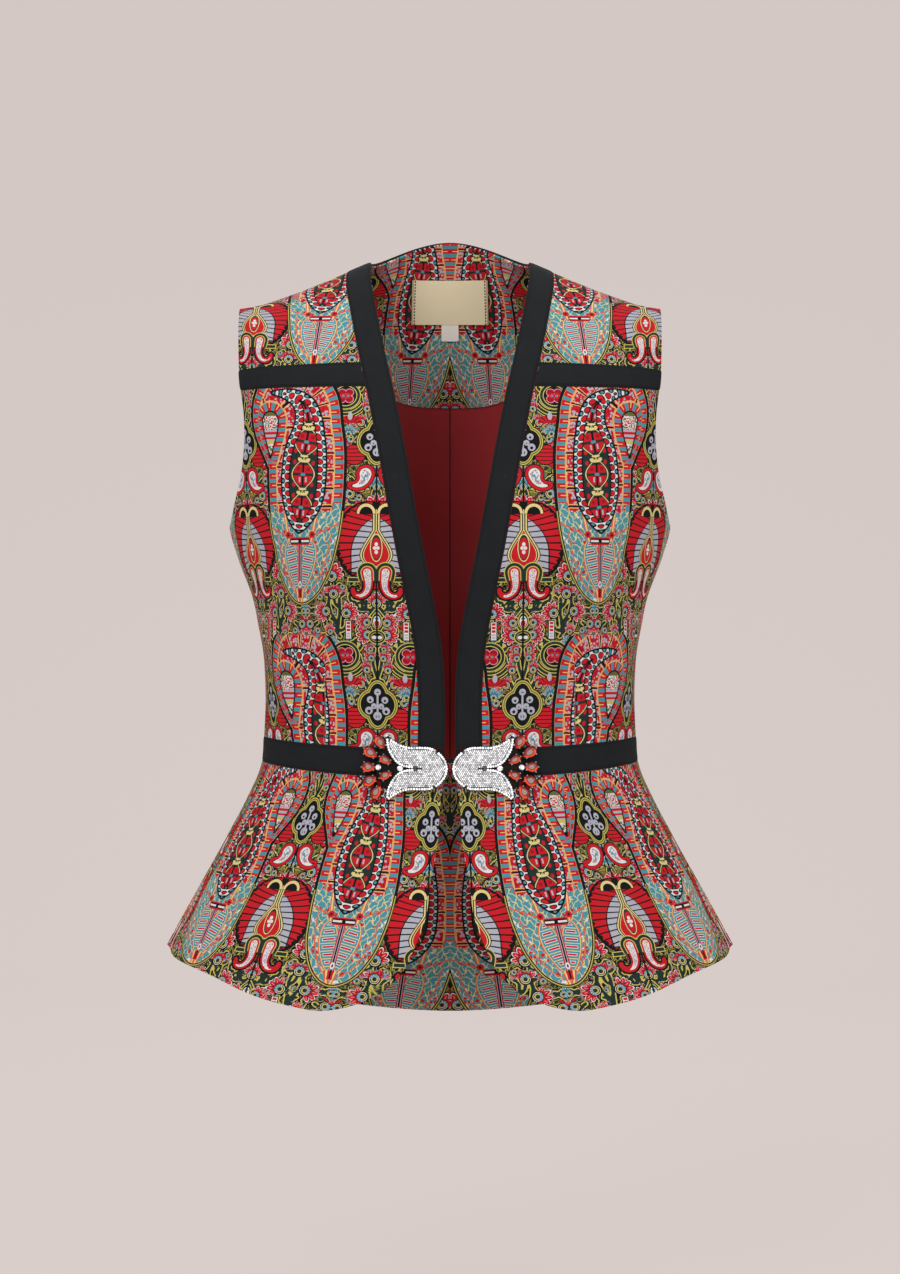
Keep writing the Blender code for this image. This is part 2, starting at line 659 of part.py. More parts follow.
def build_label():
    """A woven label across the centre of the facing, with a size tab hanging from it."""
    under = CLOTH + FACING_EASE + FACING + LABEL_GAP
    climbs = np.linspace(LABEL_SEEK, ARCH * QUARTER, 900)
    label_rows = np.linspace(LABEL_LOW, LABEL_TOP, 4)
    tab_rows = np.linspace(LABEL_LOW - SEAM - TAB_HIGH, LABEL_LOW - SEAM, 3)
    for name, half, heights, columns in (
        ("neck_label", LABEL_WIDE / 2, label_rows, 4),
        ("size_tab", TAB_WIDE / 2, tab_rows, 2),
    ):
        pairs = []
        for x in np.linspace(0, half, columns):
            angle = angle_at(x, CHEST_Z)
            z = surface(angle, climbs, True)[:, 2]
            rising = np.argmax(z)
            climb = np.interp(heights, z[:rising], climbs[:rising])
            pairs.append(np.stack([np.full_like(climb, angle), climb], -1))
        grid = np.array(pairs).transpose(1, 0, 2)
        add_whole(name, *piece(grid, True), "label", outer=-under, thick=LABEL)


def on_clasp(x, height, out):
    """Points on the flat of a clasp half: a distance from the middle, a height, and out."""
    x, height, out = np.broadcast_arrays(x, height, out)
    lean_x, lean_y = math.cos(CLASP_YAW), math.sin(CLASP_YAW)
    y = CLASP_Y + x * lean_y - out * lean_x
    return np.stack([x * lean_x + out * lean_y, y, CLASP_Z + height], -1)


def add_rings(name, rings, finish, cells=None, cap=None):
    """A closed solid from rings of points with the lowest first, and its mirror image.

    Cells are faces that fill a ring, by its points' numbers. A cap is a point over the last ring."""
    work = bmesh.new()
    loops = [[work.verts.new(point) for point in ring] for ring in rings]
    ends = [(k, (k + 1) % len(rings[0])) for k in range(len(rings[0]))]
    for low, high in zip(loops, loops[1:]):
        for k, after in ends:
            work.faces.new((low[k], low[after], high[after], high[k]))
    cells = cells or [range(len(rings[0]))]
    for cell in cells:
        work.faces.new([loops[0][k] for k in reversed(cell)])
    if cap is None:
        for cell in cells:
            work.faces.new([loops[-1][k] for k in cell])
    else:
        top = work.verts.new(cap)
        for k, after in ends:
            work.faces.new((loops[-1][k], loops[-1][after], top))
    bmesh.ops.triangulate(work, faces=work.faces)
    bmesh.ops.recalc_face_normals(work, faces=work.faces)
    for side in ("_left", "_right"):
        mesh = bpy.data.meshes.new(name + side)
        work.to_mesh(mesh)
        add_object(name + side, mesh, finish)
        bmesh.ops.scale(work, vec=(-1, 1, 1), verts=work.verts)
        bmesh.ops.reverse_faces(work, faces=work.faces)
    work.free()


def smooth_run(points, count):
    """Evenly spread points on a smooth curve through a few."""
    points = np.array(points)
    ends = np.concatenate([[2 * points[0] - points[1]], points, [2 * points[-1] - points[-2]]])
    at = np.linspace(0, len(points) - 1, count)
    k = np.minimum(at.astype(int), len(points) - 2)
    t = (at - k)[:, None]
    before, start, stop, beyond = (ends[k + step] for step in range(4))
    square = 2 * before - 5 * start + 4 * stop - beyond
    cube = 3 * (start - stop) + beyond - before
    return 0.5 * (2 * start + (stop - before) * t + square * t**2 + cube * t**3)


def tulip_outline():
    """The tulip's outline: round end at the garment's middle, two petals, a notch between."""
    outer = smooth_run(TULIP_OUTER, OUTER_STEPS + 1)
    petal = np.concatenate([outer, smooth_run(TULIP_INNER, INNER_STEPS + 1)[1:]])
    lower = petal[1:-1][::-1] * [1, -1]
    return np.concatenate([petal, lower])


def tulip_cells():
    """Faces that fill the outline: a fan from the notch, then a strip up each petal to its tip."""
    notch = OUTER_STEPS + INNER_STEPS
    fan = OUTER_STEPS - INNER_STEPS
    upper = [(notch, k, k + 1) for k in range(fan)]
    upper += [(notch - k, fan + k, fan + k + 1, notch - k - 1) for k in range(INNER_STEPS - 1)]
    upper += [(OUTER_STEPS + 1, OUTER_STEPS - 1, OUTER_STEPS)]
    lower = [tuple(-k % (2 * notch) for k in reversed(cell)) for cell in upper]
    return upper + lower


def plate_rise(outline):
    """How far the plate is domed at each point of an outline: a paraboloid."""
    away = (outline[:, 0] - PLATE_MIDDLE) ** 2 + outline[:, 1] ** 2
    return PLATE_DOME * (1 - away / PLATE_REACH**2)


def shrunk(outline, by):
    """An outline moved in by a distance, square to its mean direction at each corner."""
    ahead = np.roll(outline, -1, axis=0) - outline
    behind = outline - np.roll(outline, 1, axis=0)
    ahead /= np.linalg.norm(ahead, axis=1, keepdims=True)
    behind /= np.linalg.norm(behind, axis=1, keepdims=True)
    tangent = ahead + behind
    tangent /= np.maximum(np.linalg.norm(tangent, axis=1, keepdims=True), 0.1)
    return outline + by * np.stack([tangent[:, 1], -tangent[:, 0]], -1)


def build_clasp():
    """Each half: a fan-shaped backing, a pave tulip plate on it, and the stones of the fan."""
    turns = np.radians(np.linspace(*FAN_ANGLES, 13))
    arc = np.stack([FAN_X + FAN_RADIUS * np.cos(turns), FAN_RADIUS * np.sin(turns)], -1)
    neck = np.array([[FAN_X, FAN_NARROW], [FAN_X, -FAN_NARROW]])
    fan = np.concatenate([arc, neck])
    rings = [on_clasp(fan[:, 0], fan[:, 1], out) for out in (FAN_OUT, FAN_OUT + FAN_THICK)]
    add_rings("clasp_fan", rings, "gunmetal")

    tulip = tulip_outline()
    narrow = shrunk(tulip, PLATE_ROUND)
    top = PLATE_OUT + PLATE_THICK
    levels = (tulip, PLATE_OUT), (tulip, top - PLATE_ROUND), (narrow, top)
    rings = [on_clasp(*outline.T, out + plate_rise(outline)) for outline, out in levels]
    add_rings("clasp_plate", rings, "pave", cells=tulip_cells())

    turns = np.linspace(0, 2 * math.pi, 12, endpoint=False)
    pointed = np.sin(turns) * np.sin(turns / 2) * TEARDROP_FULL
    for number, (x, height, length, width, lean) in enumerate(TEARDROPS, 1):
        outline = -0.5 * length * np.cos(turns), -0.5 * width * pointed
        add_stone(f"teardrop_{number}", x, height, outline, math.radians(lean), "amber")
    for number, (x, height, width) in enumerate(WHITE_STONES, 1):
        outline = 0.5 * width * np.cos(turns), 0.5 * width * np.sin(turns)
        add_stone(f"white_stone_{number}", x, height, outline, 0.0, "crystal")


def add_stone(name, x, height, outline, lean, finish):
    """A domed stone from its outline, given along and across its own length."""
    along, aside = outline
    flat_x = along * math.cos(lean) - aside * math.sin(lean)
    flat_z = along * math.sin(lean) + aside * math.cos(lean)
    rings = [
        on_clasp(x + flat_x * share, height + flat_z * share, PLATE_OUT + STONE_HIGH * rise)
        for share, rise in ((1.0, 0.0), (0.92, 0.55), (0.55, 0.92))
    ]
    add_rings(name, rings, finish, cap=on_clasp(x, height, PLATE_OUT + STONE_HIGH))


def build_hook():
    """The hook behind the plates that holds the two halves of the clasp together."""
    x = np.linspace(0, HOOK_HALF, 2)
    z = CLASP_Z + HOOK_Z + np.array([-0.5, 0.5]) * HOOK_HIGH
    x, z = np.meshgrid(x, z)
    points = np.stack([x, np.full_like(x, CLASP_Y), z], -1)
    normals = np.broadcast_to(np.array([0.0, -1.0, 0.0]), points.shape)
    sizes = {"outer": HOOK_OUT + HOOK_THICK, "thick": HOOK_THICK}
    add_whole("clasp_hook", points, normals, "gunmetal", **sizes)


for other in list(bpy.data.objects):
    bpy.data.objects.remove(other)
build_fronts()
build_neck_band()
build_back()
build_waistband()
build_peplum()
build_label()
build_clasp()
build_hook()
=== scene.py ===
import math

import bpy
import numpy as np
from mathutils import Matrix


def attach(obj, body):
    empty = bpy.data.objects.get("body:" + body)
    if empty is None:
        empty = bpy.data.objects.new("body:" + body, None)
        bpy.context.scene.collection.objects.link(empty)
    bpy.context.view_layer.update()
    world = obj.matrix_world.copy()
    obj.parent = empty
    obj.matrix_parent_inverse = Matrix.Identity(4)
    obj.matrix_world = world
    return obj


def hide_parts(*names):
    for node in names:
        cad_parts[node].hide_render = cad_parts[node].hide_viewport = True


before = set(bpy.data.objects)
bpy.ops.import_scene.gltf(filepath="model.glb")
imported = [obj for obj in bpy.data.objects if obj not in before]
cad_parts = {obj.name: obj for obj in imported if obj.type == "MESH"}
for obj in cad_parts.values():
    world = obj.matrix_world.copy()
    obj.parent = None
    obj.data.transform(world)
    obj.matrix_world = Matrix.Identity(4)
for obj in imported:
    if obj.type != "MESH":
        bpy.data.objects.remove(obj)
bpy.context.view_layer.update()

mm = 0.001
quarter = math.pi / 2
sides = (("left", 1), ("right", -1))


# A wire is a shader socket that adds, multiplies and compares like a number: a comparison gives 1
# or 0, "&" is the lesser of two and "|" the greater.
class Wire:
    def __init__(self, paint, socket):
        # the material it belongs to and the socket it comes from
        self.paint = paint
        self.socket = socket

    def __add__(self, other):
        return self.paint.sum("ADD", self, other)

    def __sub__(self, other):
        return self.paint.sum("SUBTRACT", self, other)

    def __rsub__(self, other):
        return self.paint.sum("SUBTRACT", other, self)

    def __mul__(self, other):
        return self.paint.sum("MULTIPLY", self, other)

    def __truediv__(self, other):
        return self.paint.sum("DIVIDE", self, other)

    def __mod__(self, other):
        return self.paint.sum("FLOORED_MODULO", self, other)

    def __lt__(self, other):
        return self.paint.sum("LESS_THAN", self, other)

    def __gt__(self, other):
        return self.paint.sum("GREATER_THAN", self, other)

    def __and__(self, other):
        return self.paint.sum("MINIMUM", self, other)

    def __or__(self, other):
        return self.paint.sum("MAXIMUM", self, other)

    def __abs__(self):
        return self.paint.sum("ABSOLUTE", self)

    __radd__ = __add__
    __rmul__ = __mul__


# One material under construction: a Principled shader and the nodes that feed it.
class Paint:
    def __init__(self, name, **fixed):
        # fixed values go straight to the shader's sockets, an underscore standing for a space
        self.material = bpy.data.materials.new(name)
        self.material.use_nodes = True
        self.tree = self.material.node_tree
        self.shader = self.tree.nodes["Principled BSDF"]
        for socket, value in fixed.items():
            self.shader.inputs[socket.replace("_", " ")].default_value = value

    def node(self, kind, settings, inputs, output=0):
        # a shader node with its settings made and its inputs fed
        made = self.tree.nodes.new("ShaderNode" + kind)
        for name, value in settings.items():
            setattr(made, name, value)
        for name, value in inputs.items():
            self.feed(made.inputs[name], value)
        return Wire(self, made.outputs[output])

    def feed(self, socket, value):
        # a wire is linked to the socket, a plain value is set on it
        if isinstance(value, Wire):
            self.tree.links.new(value.socket, socket)
        else:
            socket.default_value = value

    def sum(self, operation, *values):
        # one step of arithmetic on wires and numbers
        return self.node("Math", {"operation": operation}, dict(enumerate(values)))

    def over(self, under, colour, mask, blend="MIX"):
        # under times one less the mask, plus the colour times the mask; both may be palette names
        under, colour = (palette[part] if isinstance(part, str) else part for part in (under, colour))
        settings = {"data_type": "RGBA", "blend_type": blend}
        return self.node("Mix", settings, {0: mask, 6: under, 7: colour}, output=2)

    def layers(self, under, rows):
        # each row's colour lies over the rows before it where its mask is 1
        for colour, mask in rows:
            under = self.over(under, colour, mask)
        return under

    def field(self, name):
        # a value stored at each point or face
        return self.node("Attribute", {"attribute_name": name}, {}, output=2)

    def flat(self):
        # the place on the flat cloth in units of 100 mm, and its two parts in mm
        place = self.node("UVMap", {"uv_map": "cloth"}, {})
        split = self.node("SeparateXYZ", {}, {0: place})
        return place, split * 100, Wire(self, split.socket.node.outputs[1]) * 100

    def stretch(self, vector, factors):
        # each part of a vector times its own factor
        return self.node("VectorMath", {"operation": "MULTIPLY"}, {0: vector, 1: factors})

    def noise(self, vector, scale, detail=2.0):
        # soft clouds round one half
        return self.node("TexNoise", {}, {"Vector": vector, "Scale": scale, "Detail": detail})

    def cells(self, vector, scale, feature="F1"):
        # the distance to the nearest of scattered points, or to its cell's edge, and the cell's colour
        made = self.node("TexVoronoi", {"feature": feature}, {"Vector": vector, "Scale": scale})
        outputs = made.socket.node.outputs
        return Wire(self, outputs["Distance"]), Wire(self, outputs["Color"]) if feature == "F1" else None

    def bump(self, height, distance):
        # tilts the normal by the slope of a height that is given in shares of the distance
        tilted = self.node("Bump", {}, {"Height": height, "Distance": distance})
        self.feed(self.shader.inputs["Normal"], tilted)

    def colour(self, value):
        # the shader's own colour
        self.feed(self.shader.inputs["Base Color"], value)

    def rough(self, value):
        # the shader's roughness, 0 for a mirror and 1 for chalk
        self.feed(self.shader.inputs["Roughness"], value)


def rgb(red, green, blue):
    # a screen colour of 0 to 255 turned into the linear colour that shaders use
    linear = [(part / 255 / 12.92) if part < 11 else ((part / 255 + 0.055) / 1.055) ** 2.4
              for part in (red, green, blue)]
    return (*linear, 1.0)


# The form the cloth takes when worn, the same as the solids': rings below, an arch over the shoulders.
form = {
    "seam": 0.3 * mm, "cloth": 1.6 * mm, "tapeProud": 0.6 * mm,
    "liningEase": 1.2 * mm, "facingEase": 2.3 * mm, "lining": 1.0 * mm, "facing": 1.2 * mm,
    "chest": -0.200, "cornerFill": 0.09, "arch": 0.190, "ridgeY": 6 * mm,
    "frontFull": (-0.35, 0.40), "backFull": (0.35, 0.45),
    "bust": {"x": 86 * mm, "z": -0.232, "out": 7 * mm, "wide": 48 * mm, "high": 52 * mm},
    "neck": {"half": 62 * mm, "lift": 29 * mm, "fade": 30 * mm, "band": 20 * mm},
    "flutes": {"count": 11, "out": 2.5 * mm, "drop": 0.150, "from": -0.3980},
    "rings": (
        # height, half width, front depth, back depth
        (-0.640, 0.2730, 0.1520, 0.1560), (-0.570, 0.2390, 0.1380, 0.1420),
        (-0.532, 0.2200, 0.1298, 0.1340), (-0.497, 0.2012, 0.1207, 0.1250),
        (-0.462, 0.1818, 0.1112, 0.1150), (-0.438, 0.1688, 0.1052, 0.1070),
        (-0.415, 0.1565, 0.1010, 0.0980), (-0.400, 0.1495, 0.1002, 0.0925),
        (-0.388, 0.1460, 0.1000, 0.0890), (-0.368, 0.1447, 0.0998, 0.0875),
        (-0.333, 0.1440, 0.1030, 0.0890), (-0.300, 0.1458, 0.1085, 0.0930),
        (-0.263, 0.1533, 0.1160, 0.0985), (-0.230, 0.1655, 0.1210, 0.1045),
        (-0.208, 0.1716, 0.1220, 0.1068), (-0.200, 0.1720, 0.1220, 0.1070)),
    "ridge": (
        # distance from the middle, height
        (0.000, 0.0230), (0.062, 0.0000), (0.078, -0.0068), (0.101, -0.0167),
        (0.132, -0.0284), (0.148, -0.0335), (0.164, -0.0360), (0.180, -0.0375)),
    "neckline": (
        # height, distance from the middle
        (-0.420, 0.0040), (-0.376, 0.0040), (-0.340, 0.0037), (-0.302, 0.0060),
        (-0.264, 0.0125), (-0.226, 0.0200), (-0.189, 0.0268), (-0.151, 0.0336),
        (-0.112, 0.0413), (-0.074, 0.0498), (-0.034, 0.0579), (-0.017, 0.0610),
        (0.004, 0.0620)),
    "armhole": (
        # height, distance of the front edge and of the back edge from the middle
        (-0.208, 0.1716, 0.1716), (-0.2045, 0.1695, 0.1703), (-0.1990, 0.1676, 0.1690),
        (-0.1900, 0.1652, 0.1672), (-0.1750, 0.1608, 0.1642), (-0.1500, 0.1570, 0.1612),
        (-0.1250, 0.1571, 0.1608), (-0.0950, 0.1612, 0.1622), (-0.0600, 0.1632, 0.1632),
        (-0.0360, 0.1640, 0.1640), (-0.0200, 0.1642, 0.1642)),
    "underarm": -0.208, "tip": -0.036,
    # each seam's height at the centre and at the side
    "waistTopFront": (-0.3760, -0.3695), "waistLowFront": (-0.3980, -0.3885),
    "waistTopBack": (-0.3720, -0.3695), "waistLowBack": (-0.3930, -0.3885),
    "yokeTop": (-0.0855, -0.0880), "yokeLow": (-0.1050, -0.1040),
}


def curveThrough(rows, column, levelStart=False):
    # a cubic between each two rows, with the slopes of the rows on either side
    at = np.array([row[0] for row in rows])
    value = np.array([row[column] for row in rows])
    slope = np.gradient(value, at)
    if levelStart:
        slope[0] = 0

    def read(x):
        # the value at x, which is held within the rows
        x = np.clip(np.asarray(x, float), at[0], at[-1])
        i = np.clip(np.searchsorted(at, x) - 1, 0, len(at) - 2)
        step = at[i + 1] - at[i]
        t = (x - at[i]) / step
        start = (1 + 2 * t) * (1 - t) ** 2 * value[i] + t * (1 - t) ** 2 * step * slope[i]
        end = t * t * (3 - 2 * t) * value[i + 1] - t * t * (1 - t) * step * slope[i + 1]
        return start + end

    return read


halfWidth = curveThrough(form["rings"], 1)
frontDepth = curveThrough(form["rings"], 2)
backDepth = curveThrough(form["rings"], 3)
ridgeHeight = curveThrough(form["ridge"], 1, levelStart=True)
neckline = curveThrough(form["neckline"], 1)
armholeFront = curveThrough(form["armhole"], 1)
armholeBack = curveThrough(form["armhole"], 2)


def ringX(angle):
    # a ring's distance from the middle: sine, filled out a little towards the corners
    return np.sin(angle) * (1 + form["cornerFill"] * np.cos(angle) ** 2)


def ringY(angle):
    # a ring's depth: cosine, filled out the same way
    return np.cos(angle) * (1 + form["cornerFill"] * np.sin(angle) ** 2)


def angleAt(x, z):
    # the ring angle whose distance from the middle is x at height z
    angles = np.linspace(0, quarter, 2000)
    return np.interp(x / halfWidth(np.minimum(z, form["chest"])), ringX(angles), angles)


def climbAt(angle, z):
    # below the chest the height over it, above it the arc sine of the share of the rise
    chest = form["chest"]
    top = ridgeHeight(halfWidth(chest) * ringX(angle))
    rise = np.clip((z - chest) / (top - chest), 0, 1)
    return np.where(z > chest, form["arch"] * np.arcsin(rise), z - chest)


def archReach(angle, turn, back):
    # cosine of the turn, fuller under the ridge by sine squared
    centre, side = form["backFull"] if back else form["frontFull"]
    full = centre + (side - centre) * ringX(angle) ** 2
    return np.cos(turn) * (1 + full * np.sin(turn) ** 2)


def neckStand(x, behind):
    # the back neck edge stands up: most at the centre back, fading away from the edge
    neck = form["neck"]
    fromMiddle = np.maximum(np.hypot(x, behind), 1e-9)
    away = np.maximum(fromMiddle - neck["half"], 0)
    share = np.clip(behind / fromMiddle, 0, 1) ** 2
    return neck["lift"] * share * np.exp(-((away / neck["fade"]) ** 1.5))


def surface(angle, climb, back=False):
    # half width times ringX, depth times ringY, up the rings and then over the arch
    angle, climb = np.broadcast_arrays(np.asarray(angle, float), np.asarray(climb, float))
    chest, flutes, bust = form["chest"], form["flutes"], form["bust"]
    low = chest + np.minimum(climb, 0)
    x = halfWidth(low) * ringX(angle)
    turn = np.clip(climb / form["arch"], 0, quarter)
    arch = archReach(angle, turn, back)
    reach = (backDepth if back else frontDepth)(low) * ringY(angle) * arch
    z = low + (ridgeHeight(x) - chest) * np.sin(turn)
    if back:
        y = form["ridgeY"] * (1 - arch) + reach
        z = z + neckStand(x, y - form["ridgeY"]) * np.where(climb > 0, 1, 0)
    else:
        bulge = np.exp(-(((x - bust["x"]) / bust["wide"]) ** 2) - ((z - bust["z"]) / bust["high"]) ** 2)
        y = form["ridgeY"] * (1 - arch) - reach - bust["out"] * bulge * ringY(angle)
    drop = np.clip((flutes["from"] - low) / flutes["drop"], 0, 1.3)
    wave = flutes["out"] * drop**1.5 * np.cos(flutes["count"] * (np.pi - angle if back else angle))
    side = 1 if back else -1
    return np.stack([x + wave * np.sin(angle), y + side * wave * np.cos(angle), z], -1)


def outward(angle, climb, back=False):
    # the cross product of the surface's two slopes
    step = 1e-4
    across = surface(angle + step, climb, back) - surface(angle - step, climb, back)
    up = surface(angle, climb + step, back) - surface(angle, climb - step, back)
    normal = np.cross(up, across) if back else np.cross(across, up)
    return normal / np.linalg.norm(normal, axis=-1, keepdims=True)


def placed(grid, back=False):
    # the points and the outward normals for a grid of angle and climb pairs
    return surface(grid[..., 0], grid[..., 1], back), outward(grid[..., 0], grid[..., 1], back)


def pairs(angle, climb):
    # a line of angle and climb pairs from two rows, or from one row and a fixed value
    return np.stack(np.broadcast_arrays(angle, climb), -1)


def lengthsAlong(points):
    # running sum of the steps between a line's points
    return np.concatenate([[0], np.cumsum(np.linalg.norm(np.diff(points, axis=0), axis=1))])


def realLengths(line, back):
    # the running sum for a line of angle and climb pairs
    return lengthsAlong(surface(line[:, 0], line[:, 1], back))


def direction(degrees):
    # the cosine and the sine of a heading
    return math.cos(math.radians(degrees)), math.sin(math.radians(degrees))


def spaced(line, at, back):
    # the pairs of a dense line at given distances along it
    along = realLengths(line, back)
    return np.stack([np.interp(at, along, line[:, k]) for k in (0, 1)], -1)


def patch(bottom, top, left, right, across, up, back=False):
    # a Coons patch: the two blends of opposite edges, less the blend of the corners
    u, v = np.linspace(0, 1, across), np.linspace(0, 1, up)

    def sample(line, shares):
        # the pairs at given shares of a line's length
        return spaced(line, shares * realLengths(line, back)[-1], back)

    low, high = sample(bottom, u)[None], sample(top, u)[None]
    near, far = sample(left, v)[:, None], sample(right, v)[:, None]
    u, v = u[None, :, None], v[:, None, None]
    corners = (1 - v) * ((1 - u) * low[:, :1] + u * low[:, -1:])
    corners = corners + v * ((1 - u) * high[:, :1] + u * high[:, -1:])
    return (1 - v) * low + v * high + (1 - u) * near + u * far - corners


def seamLine(name, start, stop, trim=0.0):
    # from the side's height to the centre's by cosine squared
    centre, side = form[name]
    angle = np.linspace(start, stop, 300)
    z = side + (centre - side) * np.cos(angle) ** 2
    return pairs(angle, climbAt(angle, z) + trim)


def ridgeLine(start, stop):
    # the shoulder seam: a quarter turn up the arch
    return pairs(np.linspace(start, stop, 300), form["arch"] * quarter)


def neckRows(climbs, distances):
    # rows that leave the front neckline square to it
    x = np.full_like(climbs, form["neck"]["half"])
    for _ in range(6):
        arch = form["chest"] + (ridgeHeight(x) - form["chest"]) * np.sin(climbs / form["arch"])
        z = np.where(climbs > 0, arch, form["chest"] + climbs)
        x = neckline(z)
    lean = np.gradient(x, climbs)
    out = np.linspace(0, 1.6 * form["neck"]["band"], 120)
    rows = []
    for start, height, climb, slope in zip(x, z, climbs, lean):
        line = np.stack([angleAt(start + out, height), climb - slope * out], -1)
        rows.append(spaced(line, distances, False))
    return np.array(rows)


def backNeckLine(turn):
    # leaves the back of the neck in one direction, seen from above
    out = form["neck"]["half"] + np.linspace(0, 70 * mm, 300)
    angle = angleAt(out * math.cos(turn), form["chest"])
    depth = backDepth(form["chest"]) * ringY(angle) - form["ridgeY"]
    share = out * math.sin(turn) / depth
    angle, share = angle[share < 0.99], share[share < 0.99]
    turns = np.linspace(quarter, 0, 1000)
    reach = archReach(angle[:, None], turns[None, :], True)
    arch = [np.interp(want, row, turns) for want, row in zip(share, reach)]
    return pairs(angle, form["arch"] * np.array(arch))


def facingDepth(turn):
    # down to a curve that rises from the centre back to the shoulder seam
    line = backNeckLine(turn)
    x, _, z = surface(line[:, 0], line[:, 1], True).T
    over = z + 0.106 - 90 * mm * (x / (100 * mm)) ** 3.4
    return np.interp(0, -over, realLengths(line, True))


def innerLine(low, high):
    # the front panels' edge beside the neck band, between two seams
    band, seam, top = form["neck"]["band"], form["seam"], form["arch"] * quarter
    climbs = np.linspace(form["waistTopFront"][0] - form["chest"] - 10 * mm, top, 240)
    edge = neckRows(climbs, [band + seam])[:, 0]
    climb = np.linspace(edge[0, 1], edge[-1, 1], 1200)
    angle = np.interp(climb, edge[:, 1], edge[:, 0])

    def crossing(name):
        # the climb where the edge meets a seam
        centre, side = form[name]
        return np.interp(0, climb - climbAt(angle, side + (centre - side) * np.cos(angle) ** 2), climb)

    last = crossing(high) - seam / 2 if high else top
    climb = np.linspace(crossing(low) + seam / 2, last, 400)
    return pairs(np.interp(climb, edge[:, 1], edge[:, 0]), climb)


def outerLine(low, high, back):
    # up the side seam, then round the armhole
    armhole = armholeBack if back else armholeFront
    seam, underarm = form["seam"], form["underarm"]
    top = form[high][1] - seam / 2 if high else float(ridgeHeight(armhole(form["tip"])))
    z = np.linspace(form[low][1] + seam / 2, top, 1500)
    angle = np.where(z > underarm, angleAt(armhole(z), z), quarter)
    climb = climbAt(angle, z)
    if not high:
        climb[-1] = form["arch"] * quarter
    return pairs(angle, climb)


def clothMap(places, back):
    # distances over the cloth in mm: round the ring from the centre, and down from the chest line
    angles, climbs = np.linspace(0, quarter, 200), np.linspace(-0.44, form["arch"] * quarter, 240)
    grid = surface(angles[:, None], climbs[None, :], back)
    aside, upward = (np.linalg.norm(np.diff(grid, axis=axis), axis=2) for axis in (0, 1))
    aside = np.concatenate([np.zeros((1, 240)), np.cumsum(aside, axis=0)])
    upward = np.concatenate([np.zeros((200, 1)), np.cumsum(upward, axis=1)], 1)
    upward = upward - upward[:, [int(np.argmin(abs(climbs)))]]
    a = np.clip(places[..., 0] / quarter, 0, 1) * 198.999
    c = np.clip((places[..., 1] - climbs[0]) / (climbs[-1] - climbs[0]), 0, 1) * 238.999
    i, j = a.astype(int), c.astype(int)
    s, t = a - i, c - j

    def read(table):
        # the mean of the table's four nearest values, each by its closeness
        low = table[i, j] * (1 - t) + table[i, j + 1] * t
        high = table[i + 1, j] * (1 - t) + table[i + 1, j + 1] * t
        return (low * (1 - s) + high * s) / mm

    return read(aside), -read(upward)


